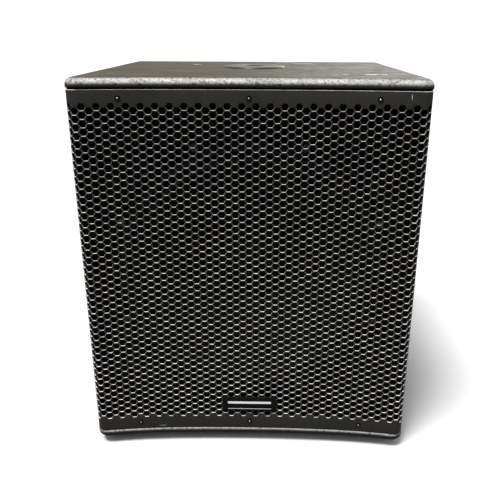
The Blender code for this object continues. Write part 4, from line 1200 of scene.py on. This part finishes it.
def knob(name, x, body, plastic, ink):
    """A fluted knob with a skirt, and a pale pointer along its top and side."""
    place = on_plate(x, CONTROL_Y)
    rings = [
        (8.5, 0.7, 0), (8.6, 1.0, 0), (8.6, 1.9, 0), (8.3, 2.3, 0), (7.2, 2.5, 0), (7.1, 2.9, 0.35),
        (6.9, 6.0, 0.45), (6.6, 10.5, 0.45), (6.4, 13.4, 0.4), (6.1, 14.2, 0.15), (5.6, 14.75, 0),
        (4.9, 14.95, 0), (4.2, 14.8, 0), (0.6, 14.5, 0),
    ]
    loops = [fluted_ring(r * MM, z * MM, depth * MM) for r, z, depth in rings]
    shaft = [star_ring(3 * MM, -8.9 * MM, 0, 96), star_ring(3 * MM, 0.65 * MM, 0, 96)]
    bm = lofted(bmesh.new(), shaft + loops, place)
    piece(name + "_cap", bm, plastic, body, [name], 50)
    top = place @ Matrix.Translation((0, 0, 14.55 * MM))
    bm = strips(bmesh.new(), top, [(0, 3.5 * MM, 0.9 * MM, 3.6 * MM, 0)], 0.42 * MM)
    side = place @ Matrix.Translation((0, 7.6 * MM, 2.0 * MM))
    strips(bm, side, [(0, 0, 0.8 * MM, 1.3 * MM, 0)], 0.35 * MM)
    piece(name + "_pointer", bm, ink, body)


def button(plastic):
    """The polarity button, with a dished top."""
    place = on_plate(BUTTON_X, CONTROL_Y)
    rings = [
        (4.4, -5.9), (4.45, 6.9), (4.3, 7.5), (3.9, 7.9), (3.3, 7.98), (2.6, 7.75), (1.5, 7.5), (0.4, 7.4),
    ]
    bm = lofted(bmesh.new(), round_rings(rings, 48), place)
    piece("phase_cap", bm, plastic, "phase_control", ["phase_button"], 50)


def inlet_blades(metal):
    """Plated sleeves on the mains inlet's three blades."""
    bm = bmesh.new()
    for x, y in ((0, 4 * MM), (-7 * MM, 0), (7 * MM, 0)):
        spot = on_plate(INLET_SPOT[0] + x, INLET_SPOT[1] + y, 0.3 * MM)
        sizes = ((2.2, 4.2, -13.5), (2.2, 4.2, -2.6), (1.9, 3.8, -2.1), (1.2, 3.0, -1.85))
        lofted(bm, [rounded_ring(w * MM, h * MM, 0.45 * w * MM, z * MM, 4) for w, h, z in sizes], spot)
    piece("inlet_blades", bm, metal)


def under_large_parts(x, z):
    """Whether a spot on the supply board is taken by its transformer or capacitor."""
    return abs(z - 405 * MM) < 45 * MM and -68 * MM < x < 92 * MM


def soldered_block(bm, place, width, height, deep):
    """A part in a moulded case."""
    rings = []
    for inset, share in ((0, 0), (0, 0.9), (0.04, 1.0)):
        shy = 1 - 2 * inset
        rings.append(rounded_ring(width * shy, height * shy, 0.4 * MM, deep * share, 2))
    lofted(bm, rings, place)


def soldered_can(bm, place, radius, tall):
    """A round capacitor, crimped near its foot."""
    rings = [(1, 0), (1, 0.08), (0.93, 0.1), (1, 0.14), (1, 0.96), (0.92, 1.0), (0.3, 0.985)]
    lofted(bm, [star_ring(radius * r, tall * z, 0, 24) for r, z in rings], place)


def board_parts(plastic, metal):
    """Small parts soldered on the two boards, in seeded places clear of the large ones."""
    draw = random.Random(7)
    margin = 10 * MM
    blocks, cans = bmesh.new(), bmesh.new()
    for name in ("amp_board", "supply_board"):
        low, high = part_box(name)
        count = 0
        while count < PARTS_PER_BOARD:
            x = draw.uniform(low.x + margin, high.x - margin)
            z = draw.uniform(low.z + margin, high.z - margin)
            if name == "supply_board" and under_large_parts(x, z):
                continue
            count += 1
            place = facing((x, low.y, z), FRONT)
            if count % 3:
                soldered_block(blocks, place, *(draw.uniform(*span) * MM for span in BLOCK_SIZES))
            else:
                soldered_can(cans, place, *(draw.uniform(*span) * MM for span in CAN_SIZES))
    piece("board_blocks", blocks, plastic)
    piece("board_cans", cans, metal)


def amplifier(finishes):
    """The module in the rear panel."""
    steel, plastic, screw, ink = (finishes[name] for name in ("steel", "plastic", "screw", "ink"))
    lines = (1, 1, 0.02)
    dark = brushed_aluminium("plate_black", (0.008, 0.008, 0.009), (0.026, 0.026, 0.028), lines, 0.3)
    fins = brushed_aluminium("fin_black", (0.010, 0.010, 0.011), (0.035, 0.035, 0.037), lines, 0.5)
    gold = bright_metal("gold_contacts", (0.62, 0.42, 0.14), (0.90, 0.68, 0.30))
    tin = bright_metal("tin_plate", (0.42, 0.42, 0.42), (0.72, 0.71, 0.69))
    keep_nodes(dark, ["amp_plate"], width=0.5 * MM)
    keep_nodes(fins, ["heat_sink"], width=0.35 * MM)
    keep_nodes(steel, ["amp_cover"])
    sockets = ["input_socket_left", "input_socket_right", "output_socket_left", "output_socket_right"]
    keep_nodes(plastic, sockets, width=0.3 * MM)
    keep_nodes(plastic, ["mains_inlet", "switch_frame", "main_capacitor"])
    keep_nodes(finishes["grey"], ["input_latch_left", "input_latch_right"], width=0.5 * MM)
    glossy = moulded_plastic("rocker_black", (0.006, 0.006, 0.006), (0.012, 0.012, 0.012))
    keep_nodes(glossy, ["power_rocker"], width=0.6 * MM)
    keep_nodes(lens_plastic(), ["status_lens"])
    keep_nodes(circuit_board(), ["amp_board", "supply_board"], width=0.1 * MM)
    plate_screws(screw)
    plate_print(ink)
    plate_ribs(dark)
    socket_contacts(gold)
    knob("level_knob", KNOB_X[0], "level_control", plastic, ink)
    knob("crossover_knob", KNOB_X[1], "crossover_control", plastic, ink)
    button(finishes["grey"])
    inlet_blades(tin)
    board_parts(plastic, tin)


# Handles, pole socket, feet ------------------------------------------------------------------------


def handles(plastic, screw):
    """The cups keep their CAD shape. Each grip is ribbed for the hand, and screws hold each cup."""
    keep_nodes(plastic, ["handle_cup_left", "handle_cup_right"], width=1.2 * MM)
    for name, side in (("left", -1), ("right", 1)):
        low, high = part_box("handle_grip_" + name)
        middle = (low + high) / 2
        radius, half = (high.z - low.z) / 2, (high.y - low.y) / 2
        profile = [(0, -half), (radius - 3 * MM, -half), (radius - 3 * MM, 12 * MM - half)]
        profile += [(radius - 1.2 * MM, 14.5 * MM - half), (radius, 18 * MM - half)]
        ribs = 11
        for i in range(-ribs, ribs + 1):
            at = i * 5.6 * MM
            for away, share in ((-1.5, 0), (-0.9, 0.7), (0, 1), (0.9, 0.7), (1.5, 0)):
                profile.append((radius - share * 0.6 * MM, at + away * MM))
        profile += [(r, -z) for r, z in reversed(profile[:5])]
        grip = turned(profile, facing(middle, REAR), 48)
        node = "handle_grip_" + name
        piece("grip_" + name, grip, plastic, replaces=[node], smooth=40)
        cup_low, cup_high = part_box("handle_cup_" + name)
        face = cup_high.x if side > 0 else cup_low.x
        spots = []
        for y in (-HANDLE_SCREW_Y, 0, HANDLE_SCREW_Y):
            for z in (-HANDLE_SCREW_Z, HANDLE_SCREW_Z):
                at = (face - side * 1.35 * MM, y, middle.z + z)
                spots.append(facing(at, (side, 0, 0)))
        screw_heads("handle_screws_" + name, spots, 3.6 * MM, 1.4 * MM, screw)


def pole_fitting(metal, screw):
    """The flanged cup for a pole, with its four screws."""
    low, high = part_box("pole_socket")
    middle = (low + high) / 2
    radius = (high.x - low.x) / 2
    place = Matrix.Translation((middle.x, middle.y, high.z - 3 * MM))
    bore, outer, depth = POLE_BORE_RADIUS, POLE_BORE_RADIUS + 4 * MM, 80 * MM
    profile = [
        (0, 3 * MM - depth), (bore - 1 * MM, 3 * MM - depth), (bore, 4 * MM - depth), (bore, 1.6 * MM),
        (bore + 0.4 * MM, 2.5 * MM), (bore + 1.4 * MM, 3 * MM), (radius - 3 * MM, 3 * MM),
        (radius - 2 * MM, 2.8 * MM), (radius - 0.3 * MM, 1.2 * MM), (radius, 0.7 * MM), (radius, 0),
        (outer, 0), (outer, 1 * MM - depth), (outer - 1 * MM, -depth), (0, -depth),
    ]
    piece("pole_cup", turned(profile, place, 96), metal, replaces=["pole_socket"])
    spots = round_circle(place, POLE_SCREW_CIRCLE, 1.6 * MM, POLE_SCREW_COUNT)
    screw_heads("pole_screws", spots, 4.2 * MM, 1.38 * MM, screw)


def feet(rubber, screw):
    """Four turned rubber feet, each with a screw in its recess."""
    for name in ("foot_front_left", "foot_front_right", "foot_rear_left", "foot_rear_right"):
        low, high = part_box(name)
        middle = (low + high) / 2
        radius, tall = (high.x - low.x) / 2, high.z
        profile = [
            (radius, tall), (radius, 8 * MM), (17.6 * MM, 2 * MM), (17.2 * MM, 0.7 * MM), (16.4 * MM, 0),
            (7.8 * MM, 0), (7 * MM, 0.8 * MM), (7 * MM, 6 * MM), (2.6 * MM, 6 * MM), (2.6 * MM, tall),
        ]
        place = Matrix.Translation((middle.x, middle.y, 0))
        piece(name + "_pad", turned(profile, place, 48), rubber, replaces=[name])
        head = facing((middle.x, middle.y, 6 * MM), (0, 0, -1))
        screw_heads(name + "_screw", [head], 5 * MM, 2.4 * MM, screw)


# Stage ---------------------------------------------------------------------------------------------


def sun(name, towards, strength, spread):
    """A soft light from far away, in the direction towards, as wide as spread in degrees."""
    data = bpy.data.lights.new(name, "SUN")
    data.energy = strength
    data.angle = math.radians(spread)
    linked(name, data).rotation_euler = Vector(towards).to_track_quat("Z", "Y").to_euler()


def floor():
    """A wide pale floor."""
    f = Finish("floor", roughness=0.7)
    f.colour(f.mix(f.noise(3, 2), (0.64, 0.64, 0.64), (0.66, 0.66, 0.66)))
    bm = bmesh.new()
    bmesh.ops.create_grid(bm, x_segments=2, y_segments=2, size=FLOOR_HALF)
    obj = piece("floor", bm, f.material, body=None)
    obj.visible_diffuse = False
    obj.visible_glossy = False


def backdrop():
    """A white wall all round, far off, that only the camera sees."""
    material = bpy.data.materials.new("backdrop")
    material.use_nodes = True
    shader = material.node_tree.nodes["Principled BSDF"]
    shader.inputs["Base Color"].default_value = (0, 0, 0, 1)
    shader.inputs["Emission Color"].default_value = (1, 1, 1, 1)
    shader.inputs["Emission Strength"].default_value = 1.0
    bm = bmesh.new()
    size = {"radius1": WALL_RADIUS, "radius2": WALL_RADIUS, "depth": WALL_HEIGHT}
    bmesh.ops.create_cone(bm, cap_ends=False, segments=64, **size)
    wall = piece("backdrop", bm, material, body=None)
    for rays in ("diffuse", "glossy", "transmission", "shadow", "volume_scatter"):
        setattr(wall, "visible_" + rays, False)


def stage():
    """Camera, pale floor and soft light."""
    turn_last, tilt, turn_first = (math.radians(angle) for angle in CAMERA_TURNS)
    data = bpy.data.cameras.new("camera")
    data.lens = CAMERA_LENS
    data.shift_x, data.shift_y = CAMERA_SHIFT
    camera = linked("camera", data)
    turns = Matrix.Rotation(turn_last, 4, "Z") @ Matrix.Rotation(tilt, 4, "X")
    turns = turns @ Matrix.Rotation(turn_first, 4, "Z")
    camera.matrix_world = Matrix.Translation(CAMERA_SPOT) @ turns
    bpy.context.scene.camera = camera
    world = bpy.data.worlds.new("studio")
    world.use_nodes = True
    world.node_tree.nodes["Background"].inputs["Color"].default_value = (1, 1, 1, 1)
    world.node_tree.nodes["Background"].inputs["Strength"].default_value = 0.26
    bpy.context.scene.world = world
    bpy.context.scene.view_settings.view_transform = "Standard"
    sun("overhead", (-0.15, -0.19, 0.6), 4.75, 20)
    sun("front", (-0.6, -1.0, 1.1), 0.55, 40)
    sun("behind", (0.5, 1.0, 0.5), 1.1, 50)
    floor()
    backdrop()


def side_in_shade(spot, way):
    """The front end of a side panel, and its face towards the middle."""
    return way.y < -0.9 or way.x * spot.x < -0.9 * abs(spot.x)


def cabinet(finishes):
    """Panels, the black front behind the grille, and the bare boards inside."""
    paint, black, dark, wood = finishes["paint"], inner_black(), port_black(), raw_plywood()
    middle = centre("pole_socket")
    rounded_panel("top_shell", "top_panel", True, paint, dark, (POLE_HOLE_RADIUS, (middle.x, middle.y)))
    rounded_panel("bottom_shell", "bottom_panel", False, paint, dark)
    sides = ["left_side_panel", "right_side_panel"]
    keep_nodes(paint, sides + ["rear_panel"])
    keep_nodes(black, ["front_baffle"])
    keep_nodes(dark, ["grille_rail_bottom", "grille_rail_top", "port_frame"])
    keep_nodes(wood, ["cross_brace"])
    finish_faces(sides, dark, side_in_shade)
    finish_faces(["rear_panel"], wood, lambda spot, way: way.y < -0.9 and spot.y < 221 * MM)


def main():
    stage()
    finishes = {
        "paint": cabinet_paint(),
        "steel": black_steel(),
        "screw": screw_metal(),
        "plastic": moulded_plastic("black_plastic", (0.010, 0.010, 0.010), (0.022, 0.022, 0.022)),
        "grey": moulded_plastic("grey_plastic", (0.10, 0.10, 0.10), (0.17, 0.17, 0.17)),
        "rubber": soft_rubber(),
        "ink": printed_ink("printed_ink", (0.42, 0.42, 0.41), (0.72, 0.72, 0.70)),
        "paper": cone_paper(),
        "cloth": treated_cloth(),
        "foam": foam_rubber(),
    }
    cabinet(finishes)
    piece("grille_sheet", perforated_sheet(), grille_paint(), replaces=["grille"])
    grille_screws(port_black(), bright_screw())
    badge(
        moulded_plastic("badge_black", (0.003, 0.003, 0.003), (0.006, 0.006, 0.006), 0.1),
        printed_ink("badge_white", (0.84, 0.84, 0.82), (0.96, 0.96, 0.95)),
    )
    woofer(finishes)
    amplifier(finishes)
    handles(finishes["plastic"], finishes["screw"])
    pole_fitting(pole_metal(), finishes["screw"])
    feet(finishes["rubber"], finishes["screw"])


main()
